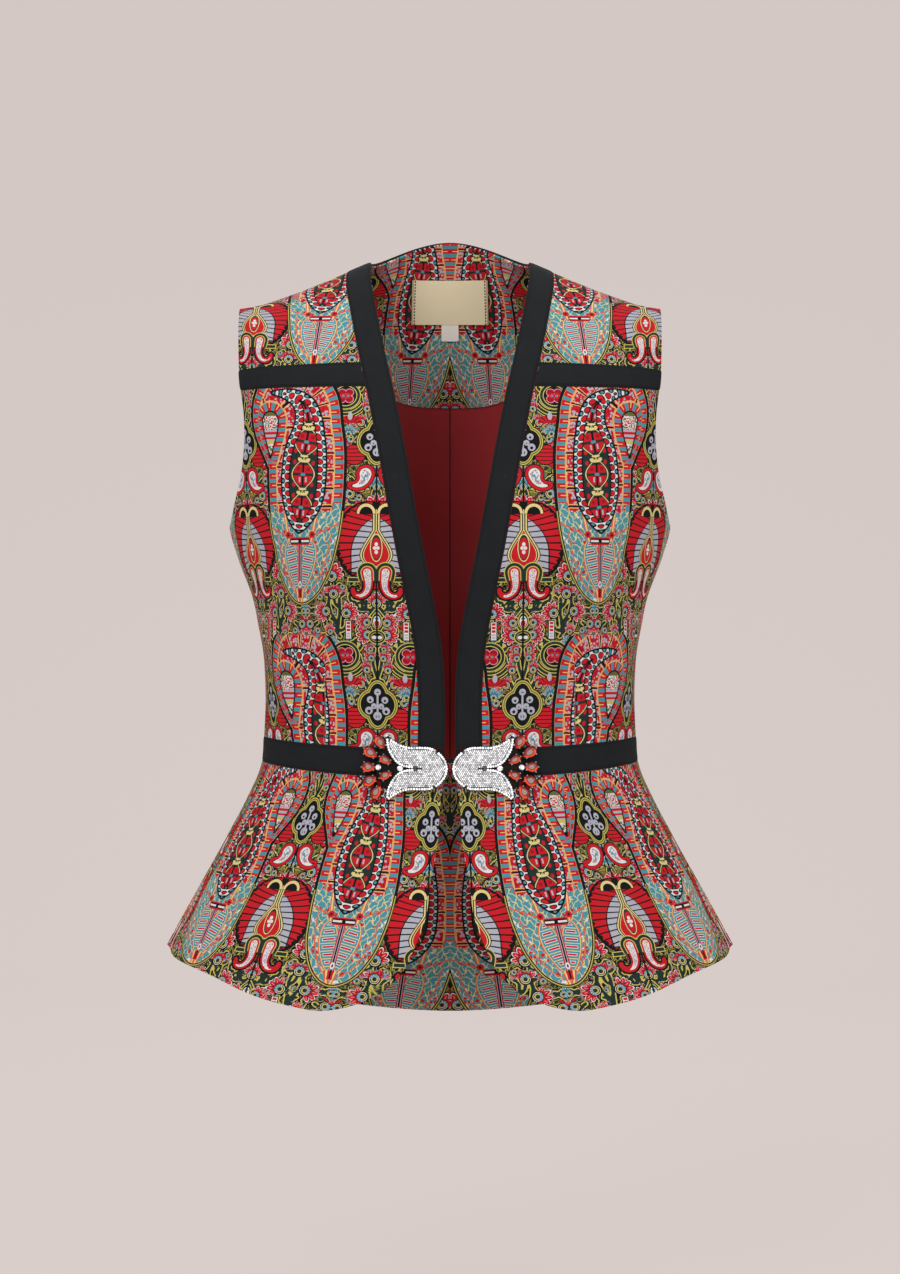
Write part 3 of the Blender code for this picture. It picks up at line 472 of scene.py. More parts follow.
# The brocade's drawing, in mm on the flat cloth. It repeats every 236 mm across, mirrored at 0 and
# 118, and every 200 mm down. Each half repeat holds one boteh between two columns of small figures.
cloth = {
    "half": 118, "drop": 200, "start": -130, "combStart": -42, "fillStart": -20,
    "body": (
        # discs whose union is the boteh: from its foot up, over into its head and down to the notch
        (62.6, 36, 9.3), (62, 31, 14), (61, 22.8, 19.6), (59.9, 10, 25), (59, -1.4, 27.6),
        (58.2, -16, 30.2), (57.6, -34, 31.8), (57.3, -52, 32.2), (57, -70, 31.6),
        (60, -88, 32), (66, -104, 35), (74, -102, 30.5), (80.5, -99, 24.8),
        (85.5, -95, 19.6), (87.8, -88, 15.4), (88.5, -78, 10.2), (89, -68, 5),
        (89.2, -60, 1.4)),
    "eye": ((87.4, -94, 7.8), (87.2, -86, 6.6), (87.6, -76, 3.6), (88, -66, 0.8)),
    "core": (
        (62.2, -9, 0.8), (60.8, -22, 11), (58.8, -36, 17.5), (58, -52, 18.8),
        (56.5, -68, 17.2), (54.2, -82, 13.2), (53.8, -94, 10.6), (56.8, -105, 8.6),
        (63.5, -111.5, 6.4), (73, -115.2, 3.9), (85, -116.5, 1.1)),
    "crown": (67, -100, 33), "eyeCrown": (87.4, -94, 11),
    "bulb": {"axis": 62.5, "lean": 0.055, "foot": 44},
    "vines": (
        # where a stem starts (from the column's middle, down), its heading in degrees, how far it
        # runs, and how sharply it curls at its start and at its end, in degrees a millimetre
        (1.5, 47.5, 60, 16, -4, 8), (5.5, 50, 20, 14, -14, -22), (5.2, 56, 95, 22, 6, -14),
        (5, 64, -40, 20, 8, 16), (15, 45, 80, 18, 12, 22), (12.5, 38, -30, 16, 9, 18),
        (29, 40, 100, 26, -2, 1), (37, 40, 80, 22, 3, 2), (28, 40, 200, 12, 8, 22),
        (38, 40, -20, 12, -8, -22), (33, 60, 90, 12, 2, 6), (40, 58, 60, 24, 10, 14),
        (24, 58, 110, 20, -8, -14), (49, 50, 10, 26, 6, -4), (58, 47, 120, 30, 6, 4),
        (46, 60, 20, 28, 5, 12), (52, 70, 80, 18, 10, 18), (28, 30, 70, 16, -8, -20),
        (24, 33, 20, 20, 3, 10), (44, 34, 130, 20, 3, 10), (16, 72, 80, 26, 2, 3),
        (12, 78, 70, 16, -8, -20), (33, 76, 60, 18, 6, 12), (40, 70, 100, 30, 2, 2),
        (7, 77, 10, 12, -8, -16), (1.5, 78, 70, 36, 2.5, 0.5), (14, 84, 100, 30, 0, 1),
        (3, 104, 60, 14, 4, 8), (14, 116, 30, 18, 5, 16), (26, 116, 100, 22, 4, 12),
        (1, 143, 30, 18, 6, 14), (20, 150, 120, 20, 6, 14), (9, 160, -10, 24, 4, -12),
        (1, 160, 60, 14, 6, 12), (24, 158, -60, 26, -5, 12), (14, 169, 20, 20, -8, -8),
        (24, 172, 150, 16, 4, 12), (23, 144, 60, 20, 3, 12), (26, 130, 80, 22, -2, 10)),
    "palmettes": (
        # middle from the column's middle and down, heading of its crown, size, tone
        (0, 45.5, -90, 8.5, 0), (33.3, 38.5, -90, 9, 0), (34.5, 25, -112, 10, 0),
        (40, 52, 8, 9, 0), (23.5, 53.5, -150, 9, 0), (33, 53, -90, 4.5, 0),
        (7.5, 60.5, -25, 7.5, 0), (7, 70, 0, 8.5, 0), (37.5, 79, -95, 9, 0.3),
        (37, 68, -80, 5.5, 0), (55, 62, 20, 8, 0), (48, 67, 60, 6, 0),
        (57, 52, -20, 6, 0.3), (45, 41, -60, 6, 0), (51, 76, 80, 6, 0),
        (4.5, 88, -60, 6, 0), (5, 81, -60, 5, 0), (8, 97, -70, 6.5, 0),
        (12.5, 108, -60, 7, 0), (22, 117, -90, 7, 0.3), (29, 108, -60, 6, 0),
        (20, 121, 20, 7, 0), (0, 142, 90, 5.5, 0), (20, 163, -10, 9, 0),
        (0, 158, -90, 7, 0.3), (0, 175.5, -90, 11, 0), (13, 166, 30, 6, 0),
        (24, 152, -20, 8, 0), (19, 178, -20, 7, 0.3), (28, 137, -40, 6, 0.3),
        (26, 33, 60, 5, 0)),
    "commas": (
        # a small paisley's head, its radius, the heading of its tail, its curl from start to end, how
        # many radii it runs, tone
        (6.9, 19.8, 3.9, 92, 2.5, -14.4, 7.6, 0.97), (8.5, 147, 6.4, 95, -6, -8, 2.6, 0.9),
        (19.5, 176, 3.6, 60, 8, 14, 3, 0.9), (23, 139, 3.4, -60, 10, 14, 3, 0),
        (52, 84, 3.6, 60, 10, 14, 3, 0.9)),
    "cartouche": {
        "down": 123, "wide": 12, "high": 16,
        # each sprig's place from the frame's middle, and its radius
        "sprigs": ((0, -9.5, 2.6), (0, 8.5, 3.2), (5.6, -3.6, 2.6), (6.6, 4.6, 2.9), (2.8, 1.2, 2.2))},
    "rosette": (25, 87),
    "fieldReach": 9, "flowerSize": 1.12,
}


def smoothRun(points, count):
    # Catmull-Rom: each stretch a cubic through two points, with the chords' slopes
    points = np.array(points, float)
    ends = np.concatenate([[2 * points[0] - points[1]], points, [2 * points[-1] - points[-2]]])
    at = np.linspace(0, len(points) - 1, count)
    k = np.minimum(at.astype(int), len(points) - 2)
    t = (at - k)[:, None]
    before, start, stop, beyond = (ends[k + step] for step in range(4))
    square = 2 * before - 5 * start + 4 * stop - beyond
    cube = 3 * (start - stop) + beyond - before
    return 0.5 * (2 * start + (stop - before) * t + square * t**2 + cube * t**3)


def foldCloth(u, v):
    # triangle wave across, saw tooth down
    half, drop, start = cloth["half"], cloth["drop"], cloth["start"]
    return abs((u + half) % (2 * half) - half), (v - start) % drop + start


def nearestDisc(x, y, discs):
    # the least of distance to a disc's centre less its radius, and which disc gives it
    best, which = np.full(x.shape, 99.0), np.zeros(x.shape, int)
    for number, (cx, cy, radius) in enumerate(discs):
        away = np.hypot(x - cx, y - cy) - radius
        closer = away < best
        best, which = np.where(closer, away, best), np.where(closer, number, which)
    return best, which


def curl(x, y, heading, length, first, last, steps=14):
    # a stem whose bend grows evenly from one end to the other: a clothoid
    t = np.linspace(0, 1, steps)
    turn = math.radians(heading) + np.radians(first * t + (last - first) * t**2 / 2) * length
    step = length / (steps - 1)
    return np.stack([x + np.cumsum(np.cos(turn)) * step, y + np.cumsum(np.sin(turn)) * step], -1)


def lineDistance(x, y, line, best):
    # the least distance to a run of straight pieces
    for (ax, ay), (bx, by) in zip(line[:-1], line[1:]):
        dx, dy = bx - ax, by - ay
        t = np.clip(((x - ax) * dx + (y - ay) * dy) / (dx * dx + dy * dy), 0, 1)
        best = np.minimum(best, np.hypot(x - ax - t * dx, y - ay - t * dy))
    return best


def laneRound(x, y, crown):
    # along the sides it is the distance down; over the crown the arc of a circle joins the two
    cx, cy, radius = crown
    turn = np.arctan2(cy - y, x - cx)
    straight = np.where(x > cx, y - cy, -math.pi * radius - (y - cy))
    return np.where(y > cy, straight, -turn * radius)


def drawCloth(u, v):
    # the fields that the shader cuts into lines: depth in the boteh, distance to its eye, the lane
    # round its edge, depth in its core, the run and the side along the core's spine, how near the
    # stems and the small paisleys are, their tone, and the nearest flower's own two coordinates,
    # along its crown and aside from it, in shares of its size
    shape = u.shape
    x, y = foldCloth(u.ravel(), v.ravel())
    depth, _ = nearestDisc(x, y, smoothRun(cloth["body"], 150))
    eye, _ = nearestDisc(x, y, smoothRun(cloth["eye"], 24))
    lane = np.where(eye < -depth, laneRound(x, y, cloth["eyeCrown"]), laneRound(x, y, cloth["crown"]))
    spine = smoothRun(cloth["core"], 130)
    core, which = nearestDisc(x, y, spine)
    along = lengthsAlong(spine[:, :2])
    heading = np.gradient(spine[:, :2], axis=0)
    heading /= np.linalg.norm(heading, axis=1, keepdims=True)
    offX, offY = x - spine[which, 0], y - spine[which, 1]
    side = offX * heading[which, 1] - offY * heading[which, 0]
    run = along[which] + offX * heading[which, 0] + offY * heading[which, 1]
    column = np.minimum(x, cloth["half"] - x)
    down = (y - cloth["fillStart"]) % cloth["drop"] + cloth["fillStart"]
    reach = cloth["fieldReach"]
    vines, bloom, tone = np.full(x.shape, reach), np.full(x.shape, reach), np.zeros(x.shape)
    flower, crownward, aside, tint = (np.full(x.shape, start) for start in (reach, 2.0, 2.0, 0.0))
    for startX, startY, *bend in cloth["vines"]:
        line = curl(startX, startY, *bend)
        vines = lineDistance(column, down, line, vines)
        vines = lineDistance(-column, down, line, vines)

    def stamp(away, value):
        # the nearest shape gives its distance and its tone
        nonlocal bloom, tone
        closer = away < bloom
        bloom, tone = np.where(closer, away, bloom), np.where(closer, value, tone)

    for cx, cy, heading, size, value in cloth["palmettes"]:
        c, s = direction(heading)
        size = size * cloth["flowerSize"]
        for place, sign in ((cx, 1), (-cx, -1)):
            px, py = sign * (column - place), down - cy
            away = np.hypot(px, py) - size
            closer = away < flower
            crownward = np.where(closer, (px * c + py * s) / size, crownward)
            aside = np.where(closer, (py * c - px * s) / size, aside)
            flower, tint = np.where(closer, away, flower), np.where(closer, value, tint)
    for cx, cy, radius, heading, first, last, length, value in cloth["commas"]:
        tail = curl(cx, cy, heading, radius * length, first, last, 16)
        sizes = radius * np.linspace(1, 0.33, 16)
        for sign in (1, -1):
            away, _ = nearestDisc(column * sign, down, np.column_stack([tail, sizes]))
            stamp(away, value)
    drawn = {"depth": depth, "eye": eye, "lane": lane, "core": core, "run": run, "side": side,
             "vines": vines, "bloom": bloom, "tone": tone, "flower": flower, "crownward": crownward,
             "aside": aside, "tint": tint}
    return {name: value.reshape(shape) for name, value in drawn.items()}


def linked(name, data):
    # an object for a mesh, a lamp or the camera, put into the scene
    made = bpy.data.objects.new(name, data)
    bpy.context.scene.collection.objects.link(made)
    return made


def store(mesh, name, domain, values):
    # a value for each point or face, for the shader to read
    mesh.attributes.new(name, "FLOAT", domain).data.foreach_set("value", np.asarray(values, np.float32))


def joinWall(name, points, normals, materials, uv, fields, outer=0.0, thick=None, insideSlot=0):
    # a grid moved out along its normals, the same grid further in, and a rim between the two
    thick = form["cloth"] if thick is None else thick
    rows, columns = points.shape[:2]
    count = rows * columns
    cell = np.arange(count).reshape(rows, columns)
    quads = np.stack([cell[:-1, :-1], cell[:-1, 1:], cell[1:, 1:], cell[1:, :-1]], -1).reshape(-1, 4)
    rim = np.concatenate([cell[0, :-1], cell[:-1, -1], cell[-1, :0:-1], cell[:0:-1, 0]])
    after = np.roll(rim, -1)
    edge = np.stack([rim, rim + count, after + count, after], -1)
    faces = np.concatenate([quads, edge, quads[:, ::-1] + count])
    across, up = points[:-1, 1:] - points[:-1, :-1], points[1:, :-1] - points[:-1, :-1]
    if (np.cross(across, up) * normals[:-1, :-1]).sum() < 0:
        faces = faces[:, ::-1]
    walls = np.concatenate([points + normals * outer, points + normals * (outer - thick)]).reshape(-1, 3)
    mesh = bpy.data.meshes.new(name)
    mesh.vertices.add(len(walls))
    mesh.vertices.foreach_set("co", walls.astype(np.float32).ravel())
    mesh.loops.add(faces.size)
    mesh.loops.foreach_set("vertex_index", faces.astype(np.int32).ravel())
    mesh.polygons.add(len(faces))
    mesh.polygons.foreach_set("loop_start", np.arange(0, faces.size, 4, dtype=np.int32))
    slots = np.zeros(len(faces), np.int32)
    slots[len(quads) + len(edge):] = insideSlot
    mesh.polygons.foreach_set("material_index", slots)
    mesh.update(calc_edges=True)
    layer = mesh.uv_layers.new(name="cloth")
    flat = np.tile(np.stack(uv, -1).reshape(-1, 2) / 100, (2, 1))[faces.ravel()]
    layer.data.foreach_set("uv", flat.astype(np.float32).ravel())
    for field, value in fields.items():
        store(mesh, field, "POINT", np.tile(value.ravel(), 2))
    for material in materials:
        mesh.materials.append(material)
    mesh.shade_smooth()
    mesh.set_sharp_from_angle(angle=math.radians(50))
    return linked(name, mesh)


def settle(piece, node):
    # every piece moves with the one body, and stands in for one of the solids
    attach(piece, "root")
    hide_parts(node)


def unfolded(points, mirror=(-1, 1, 1)):
    # the left half of a grid joined to its mirror image along the centre
    return np.concatenate([(points * np.array(mirror))[:, :0:-1], points], axis=1)


def addPair(name, node, slot, points, normals, materials, uv, fields=None, cut=None, **sizes):
    # the wearer's left and its mirror image, which meet at the centre
    points = points.copy()
    points[..., 0] = np.maximum(points[..., 0], 0)
    for side, mirror in sides:
        flip = np.array([mirror, 1, 1])
        piece = joinWall(f"{name}_{side}", points * flip, normals * flip, materials, uv, fields or {},
                         **sizes)
        settle(piece, f"{node}_{side}")
        declare(points, cut)


def addWhole(name, node, slot, points, normals, materials, uv, cut=None, **sizes):
    # a piece that runs unbroken across the centre
    points, normals = unfolded(points), unfolded(normals)
    uv = (unfolded(uv[0], -1), unfolded(uv[1], 1))
    piece = joinWall(name, points, normals, materials, uv, {}, **sizes)
    settle(piece, node)
    declare(points, cut)


def declare(points, cut):
    # works out the area of a piece's grid and the lesser of it and most of the cut box's area, and keeps
    # neither
    across = np.cross(points[1:, :-1] - points[:-1, :-1], points[:-1, 1:] - points[:-1, :-1])
    area = float(np.linalg.norm(across, axis=-1).sum())
    min(area, 0.999 * cut[0] * cut[1])


def creased(points, normals, folds):
    # soft ridges and troughs: a bell across each fold, a longer bell along it
    lift = np.zeros(points.shape[:2])
    for x, z, lean, length, width, height in folds:
        c, s = direction(lean)
        dx, dz = (points[..., 0] - x * mm) / mm, (points[..., 2] - z * mm) / mm
        along, across = dx * c + dz * s, -dx * s + dz * c
        lift += height * mm * np.exp(-((along / length) ** 2) - (across / width) ** 2)
    return points + normals * lift[..., None]


print("form and drawing ready")

palette = {
    "ground": rgb(24, 26, 28), "deep": rgb(38, 54, 52), "red": rgb(203, 34, 44),
    "crimson": rgb(165, 22, 44), "teal": rgb(80, 152, 166), "cream": rgb(232, 212, 142),
    "orange": rgb(232, 96, 58),
    "white": rgb(232, 228, 226), "grey": rgb(182, 182, 194), "olive": rgb(106, 108, 58),
    "yellow": rgb(206, 192, 98), "pink": rgb(226, 150, 160), "gold": rgb(240, 190, 120),
}


def within(value, low, high):
    # 1 between two values and 0 outside them
    return (value > low) & (value < high)


def disc(x, y, cx, cy, wide, high):
    # inside an ellipse
    dx, dy = (x - cx) / wide, (y - cy) / high
    return (dx * dx + dy * dy) < 1.0


def makeBrocade():
    # ground, then filler, stems and flowers, then the columns' figures, then the boteh over them all
    paint = Paint("brocade", Roughness=0.85, Specular_IOR_Level=0.08)
    flatMap, u, v = paint.flat()
    half, drop = cloth["half"], cloth["drop"]
    x = paint.sum("PINGPONG", u, half)
    column = x & (half - x)
    y = (v - cloth["start"]) % drop + cloth["start"]
    down = (v - cloth["fillStart"]) % drop + cloth["fillStart"]
    combDown = (v - cloth["combStart"]) % drop + cloth["combStart"]
    vines, bloom, tone = (paint.field(name) for name in ("vines", "bloom", "tone"))

    place = paint.node("CombineXYZ", {}, {0: column, 1: down, 2: 0})
    warp = paint.noise(place, 0.16, 1)
    bent = paint.node("VectorMath", {"operation": "MULTIPLY_ADD"},
                      {0: Wire(paint, warp.socket.node.outputs["Color"]), 1: (9, 9, 0), 2: place})
    _, cellColour = paint.cells(bent, 0.30)
    cellEdge, _ = paint.cells(bent, 0.30, "DISTANCE_TO_EDGE")
    pick = paint.node("SeparateColor", {}, {0: cellColour})
    inner = cellEdge > 0.15
    colour = paint.layers("ground", (
        ("yellow", within(cellEdge, 0.035, 0.082) & (pick > 0.22)), ("red", inner & (pick < 0.25)),
        ("deep", inner & within(pick, 0.34, 0.68)), ("olive", inner & within(pick, 0.68, 0.80)),
        ("white", (cellEdge > 0.22) & within(pick, 0.24, 0.27)),
        ("teal", inner & within(pick, 0.80, 0.88)), ("ground", vines < 2.7), ("yellow", vines < 1.95),
        ("deep", vines < 1.15)))
    colour = drawFlower(paint, colour)
    speckle, _ = paint.cells(place, 0.62)
    colour = paint.layers(colour, (
        ("ground", bloom < 1.3), ("red", bloom < 0.6), ("grey", bloom < -0.9),
        ("red", within(bloom, -1.5, -0.9)), ("ground", within(bloom, -1.9, -1.5)),
        ("white", within(bloom, -3.1, -1.9) | ((bloom < -3.1) & (speckle > 0.62))),
        ("red", (bloom < -2.7) & (speckle < 0.34)), ("teal", (bloom < -4.4) & (speckle < 0.5))))

    colour = drawSmall(paint, colour, column, down)
    colour = drawComb(paint, colour, column, combDown)
    pair = tone > 0.95
    arch = pair & within(combDown, 12, 28)
    colour = paint.layers(colour, (
        ("ground", pair & (bloom < 1.8)), ("yellow", arch & within(bloom, 0.4, 3.9)),
        ("deep", arch & within(bloom, 1.1, 3.2)), ("red", pair & (bloom < 0.4)),
        ("white", pair & (bloom < -1)), ("red", pair & (bloom < -1.6) & (speckle < 0.30)),
        ("grey", pair & (bloom < -1.4) & (speckle > 0.62))))
    colour = drawCartouche(paint, colour, column, down)
    colour = drawBoteh(paint, colour, x, y, place)

    weft = paint.noise(paint.stretch(flatMap, (90, 420, 1)), 1)
    rows = paint.sum("SINE", v * (2 * math.pi / 0.62))
    warpLines = paint.sum("SINE", u * (2 * math.pi / 0.55))
    light = paint.noise(flatMap, 7, 3)
    shade = 0.66 + rows * 0.05 + weft * 0.30 + light * 0.12
    grey = paint.node("CombineColor", {}, {0: shade, 1: shade, 2: shade})
    paint.colour(paint.over(colour, grey, 1, "MULTIPLY"))
    raised = (vines < 1.9) | (bloom < 0.6) | (paint.field("flower") < -0.8)
    height = weft * 0.8 + rows * 0.25 + warpLines * 0.12 + raised * 0.35
    paint.bump(height, 0.22 * mm)
    return paint.material


def drawFlower(paint, colour):
    # a fan of petals on a calyx: the edge's reach falls off by a square between the petals' axes
    crownward, aside, tone = (paint.field(name) for name in ("crownward", "aside", "tint"))
    far = paint.sum("SQRT", crownward * crownward + aside * aside)
    turn = abs(paint.sum("ARCTAN2", aside, crownward))
    spread = 0.54
    gap = paint.sum("PINGPONG", turn, spread / 2) * (2 / spread)
    edge = 1 - gap * gap * 0.30 - turn * turn * 0.09
    edge = edge * (turn < 1.48) + (turn > 1.48) * 0.34
    near = paint.field("flower") < 0.9
    colour = paint.over(colour, "ground", near & (far < edge + 0.10))
    colour = paint.over(colour, "white", near & (far < edge))
    petal = paint.layers("red", (
        ("teal", within(tone, 0.2, 0.4)), ("pink", (gap < 0.14) & within(far, 0.52, 0.74)),
        ("ground", (gap > 0.84) & (turn < 1.3))))
    colour = paint.over(colour, petal, near & (far < edge - 0.075))
    heart = near & (far < 0.44 - gap * 0.06) & (turn < 1.5)
    return paint.layers(colour, (
        ("ground", heart | (near & (far < 0.30))), ("grey", heart & (far < 0.36)),
        ("teal", heart & (far < 0.36) & (gap < 0.55)), ("yellow", near & (far < 0.24) & (turn > 1.1)),
        ("deep", near & (far < 0.15))))


def drawSmall(paint, colour, x, y):
    # the rosette in its rings, a ribbed bar, a red fan, and the bow on the column's middle
    cx, cy = cloth["rosette"]
    dx, dy = x - cx, y - (cy - 2.5)
    far = paint.sum("SQRT", dx * dx + dy * dy)
    crescent = (y > cy + 2) & (abs(dx) < 14 - abs(dy - 13) * 0.3) & (far < 21) & (far > 9)
    colour = paint.over(colour, "ground", crescent)
    bend = (far - 10.2) % 4.6
    colour = paint.layers(colour, (
        ("yellow", crescent & (bend < 3.4)), ("deep", crescent & within(bend, 0.7, 2.7)),
        ("olive", crescent & within(far, 10.2, 13.6) & (abs(dx) < 4)),
        ("yellow", disc(x, y, cx, cy - 1, 11.8, 11.2)), ("deep", disc(x, y, cx, cy - 1, 11.1, 10.5)),
        ("yellow", disc(x, y, cx, cy - 1, 9, 8.6)), ("ground", disc(x, y, cx, cy - 1, 8.3, 7.9))))
    ax, ay = abs(x - cx), abs(y - (cy - 1))
    colour = paint.layers(colour, (
        ("pink", disc(ax, ay, 2.9, 2.7, 3.5, 3.3)), ("crimson", disc(ax, ay, 2.9, 2.7, 2.9, 2.7)),
        ("red", disc(ax, ay, 2.2, 1, 2.2, 1.5)), ("teal", disc(ax, ay, 1.8, 0, 1.1, 0.9))))
    bar = within(x, 19.4, 24.6) & within(y, 59, 74)
    colour = paint.layers(colour, (
        ("ground", bar), ("white", within(x, 20, 24) & within(y, 59.6, 73.4)),
        ("red", within(x, 20.6, 23.4) & within(y, 60, 68) & ((y % 2.7) > 0.8)),
        ("grey", within(x, 20.6, 23.4) & within(y, 68.6, 73.4) & ((y % 2) > 0.7))))
    fan = disc(x, y, 21, 108.5, 9.5, 6.5) & (y < 108.5)
    colour = paint.over(colour, "red", fan)
    rays = paint.sum("ARCTAN2", x - 21, 110 - y) % 0.42
    return paint.layers(colour, (
        ("ground", fan & (rays < 0.10)), ("grey", disc(x, y, 21, 102.5, 1.8, 3.2)),
        ("yellow", disc(x, y, 0, 71.5, 6.8, 5.6)), ("deep", disc(x, y, 0, 71.5, 6.1, 4.9)),
        ("yellow", disc(x, y, 0, 71.5, 4.8, 3.6)), ("ground", disc(x, y, 0, 71.5, 4.4, 3.2)),
        ("white", disc(x, y, 2.2, 71.8, 1.8, 1.4) | disc(x, y, 0, 71.8, 1.6, 0.9)),
        ("yellow", disc(x, y, 0, 59, 4.2, 6.2)), ("ground", disc(x, y, 0, 59, 3.5, 5.5)),
        ("white", disc(x, y, 0, 59.4, 2.8, 4.4)), ("red", disc(x, y, 0, 61, 1.9, 2.6)),
        ("teal", disc(x, y, 0, 57.2, 1.7, 0.9))))


def drawComb(paint, colour, x, y):
    # a pear between two pairs of wings: pale ones with dark ribs, and red ones with a ragged edge
    rib = (y * (1 - x * 0.012) + 80.4) % 3.8
    ragged = paint.sum("PINGPONG", rib, 1.9)
    red = disc(x + ragged * 1.3, y, 6, -1.5, 24, 29) & ((y < 19) | (x > 12)) & (y < 25)
    colour = paint.over(colour, "ground", disc(x, y, 6, -1, 25.5, 30.5) & (y < 27))
    colour = paint.over(colour, "red", red & (x > 3))
    rise = 1 - paint.sum("POWER", ((8 - y) | 0) / 27 & 1, 2)
    wing = paint.sum("POWER", rise | 0, 0.7) * 18.5
    grey = within(y, -18.5, 21.5) & (x < wing)
    colour = paint.layers(colour, (
        ("ground", within(y, -19.5, 22.5) & (x < wing + 0.9)), ("grey", grey),
        ("ground", (rib < 0.8) & (red | grey))))
    share = paint.sum("POWER", ((y + 17) / 36.5 | 0) & 1, 2)
    pear = paint.sum("POWER", paint.sum("SINE", share * math.pi) | 0, 0.75) * 11.8
    pear = pear | (within(y, -25, -10) * 2.4)
    colour = paint.layers(colour, (
        ("ground", x < pear + 0.7), ("cream", x < pear), ("deep", x < pear - 1.1),
        ("cream", x < pear - 2), ("red", (x < pear - 2.6) & (y < 17)),
        ("cream", disc(x, y, 0, 3.4, 4.6, 10.4)), ("deep", disc(x, y, 0, 3.4, 3.9, 9.6)),
        ("red", disc(x, y, 0, 3.8, 3.3, 8))))
    beads = disc(x, y, 1.2, 3.6, 1.3, 1.3) | disc(x, y, 0, 0.8, 1.3, 1.5) | disc(x, y, 0, 6.6, 1.3, 1.5)
    colour = paint.over(colour, "white", beads)
    horn = disc(x, y, 7.6, -22.6, 6.9, 6.9) & (disc(x, y, 7.6, -22.2, 5, 5) < 0.5) & (y < -22)
    colour = paint.over(colour, "ground", disc(x, y, 7.6, -22.6, 7.6, 7.6) & (y < -21.5) & (x > 1))
    colour = paint.over(colour, "cream", horn)
    foot = within(x, 12.5, 22) & within(y, 25.4, 29.4)
    colour = paint.over(colour, "yellow", foot)
    return paint.over(colour, "deep", within(x, 13, 21.2) & within(y, 26.1, 28.7))


def drawCartouche(paint, colour, x, y):
    # a pale sprig on black in a four-lobed frame, with ribbed red wings beside it
    box = cloth["cartouche"]
    at, wide, high = box["down"], box["wide"], box["high"]
    red = disc(x, y, 17, at + 10, 8, 7.5)
    colour = paint.layers(colour, (
        ("ground", disc(x, y, 17, at + 10, 8.8, 8.3)), ("red", red),
        ("ground", red & (((y + 0.6) % 3) < 0.6))))

    def lobes(grow):
        # two crossed ovals, grown by a margin
        return (disc(x, y, 5, at, wide - 4 + grow, high * 0.56 + grow)
                | disc(x, y, 0, at, wide * 0.62 + grow, high + grow))

    colour = paint.layers(colour, (
        ("ground", lobes(3.1)), ("yellow", lobes(2.4)), ("olive", lobes(1.6)), ("yellow", lobes(0.7)),
        ("ground", lobes(0))))
    ring = 1.7
    for cx, cy, size in box["sprigs"]:
        hole = disc(x, y, cx, at + cy + 0.5, size - ring, size - ring)
        sprig = disc(x, y, cx, at + cy, size, size) & (hole < 0.5)
        colour = paint.over(colour, "grey", sprig)
    stem = (x < 0.75) & within(y, at - 9, at + 11)
    return paint.over(colour, "grey", stem)


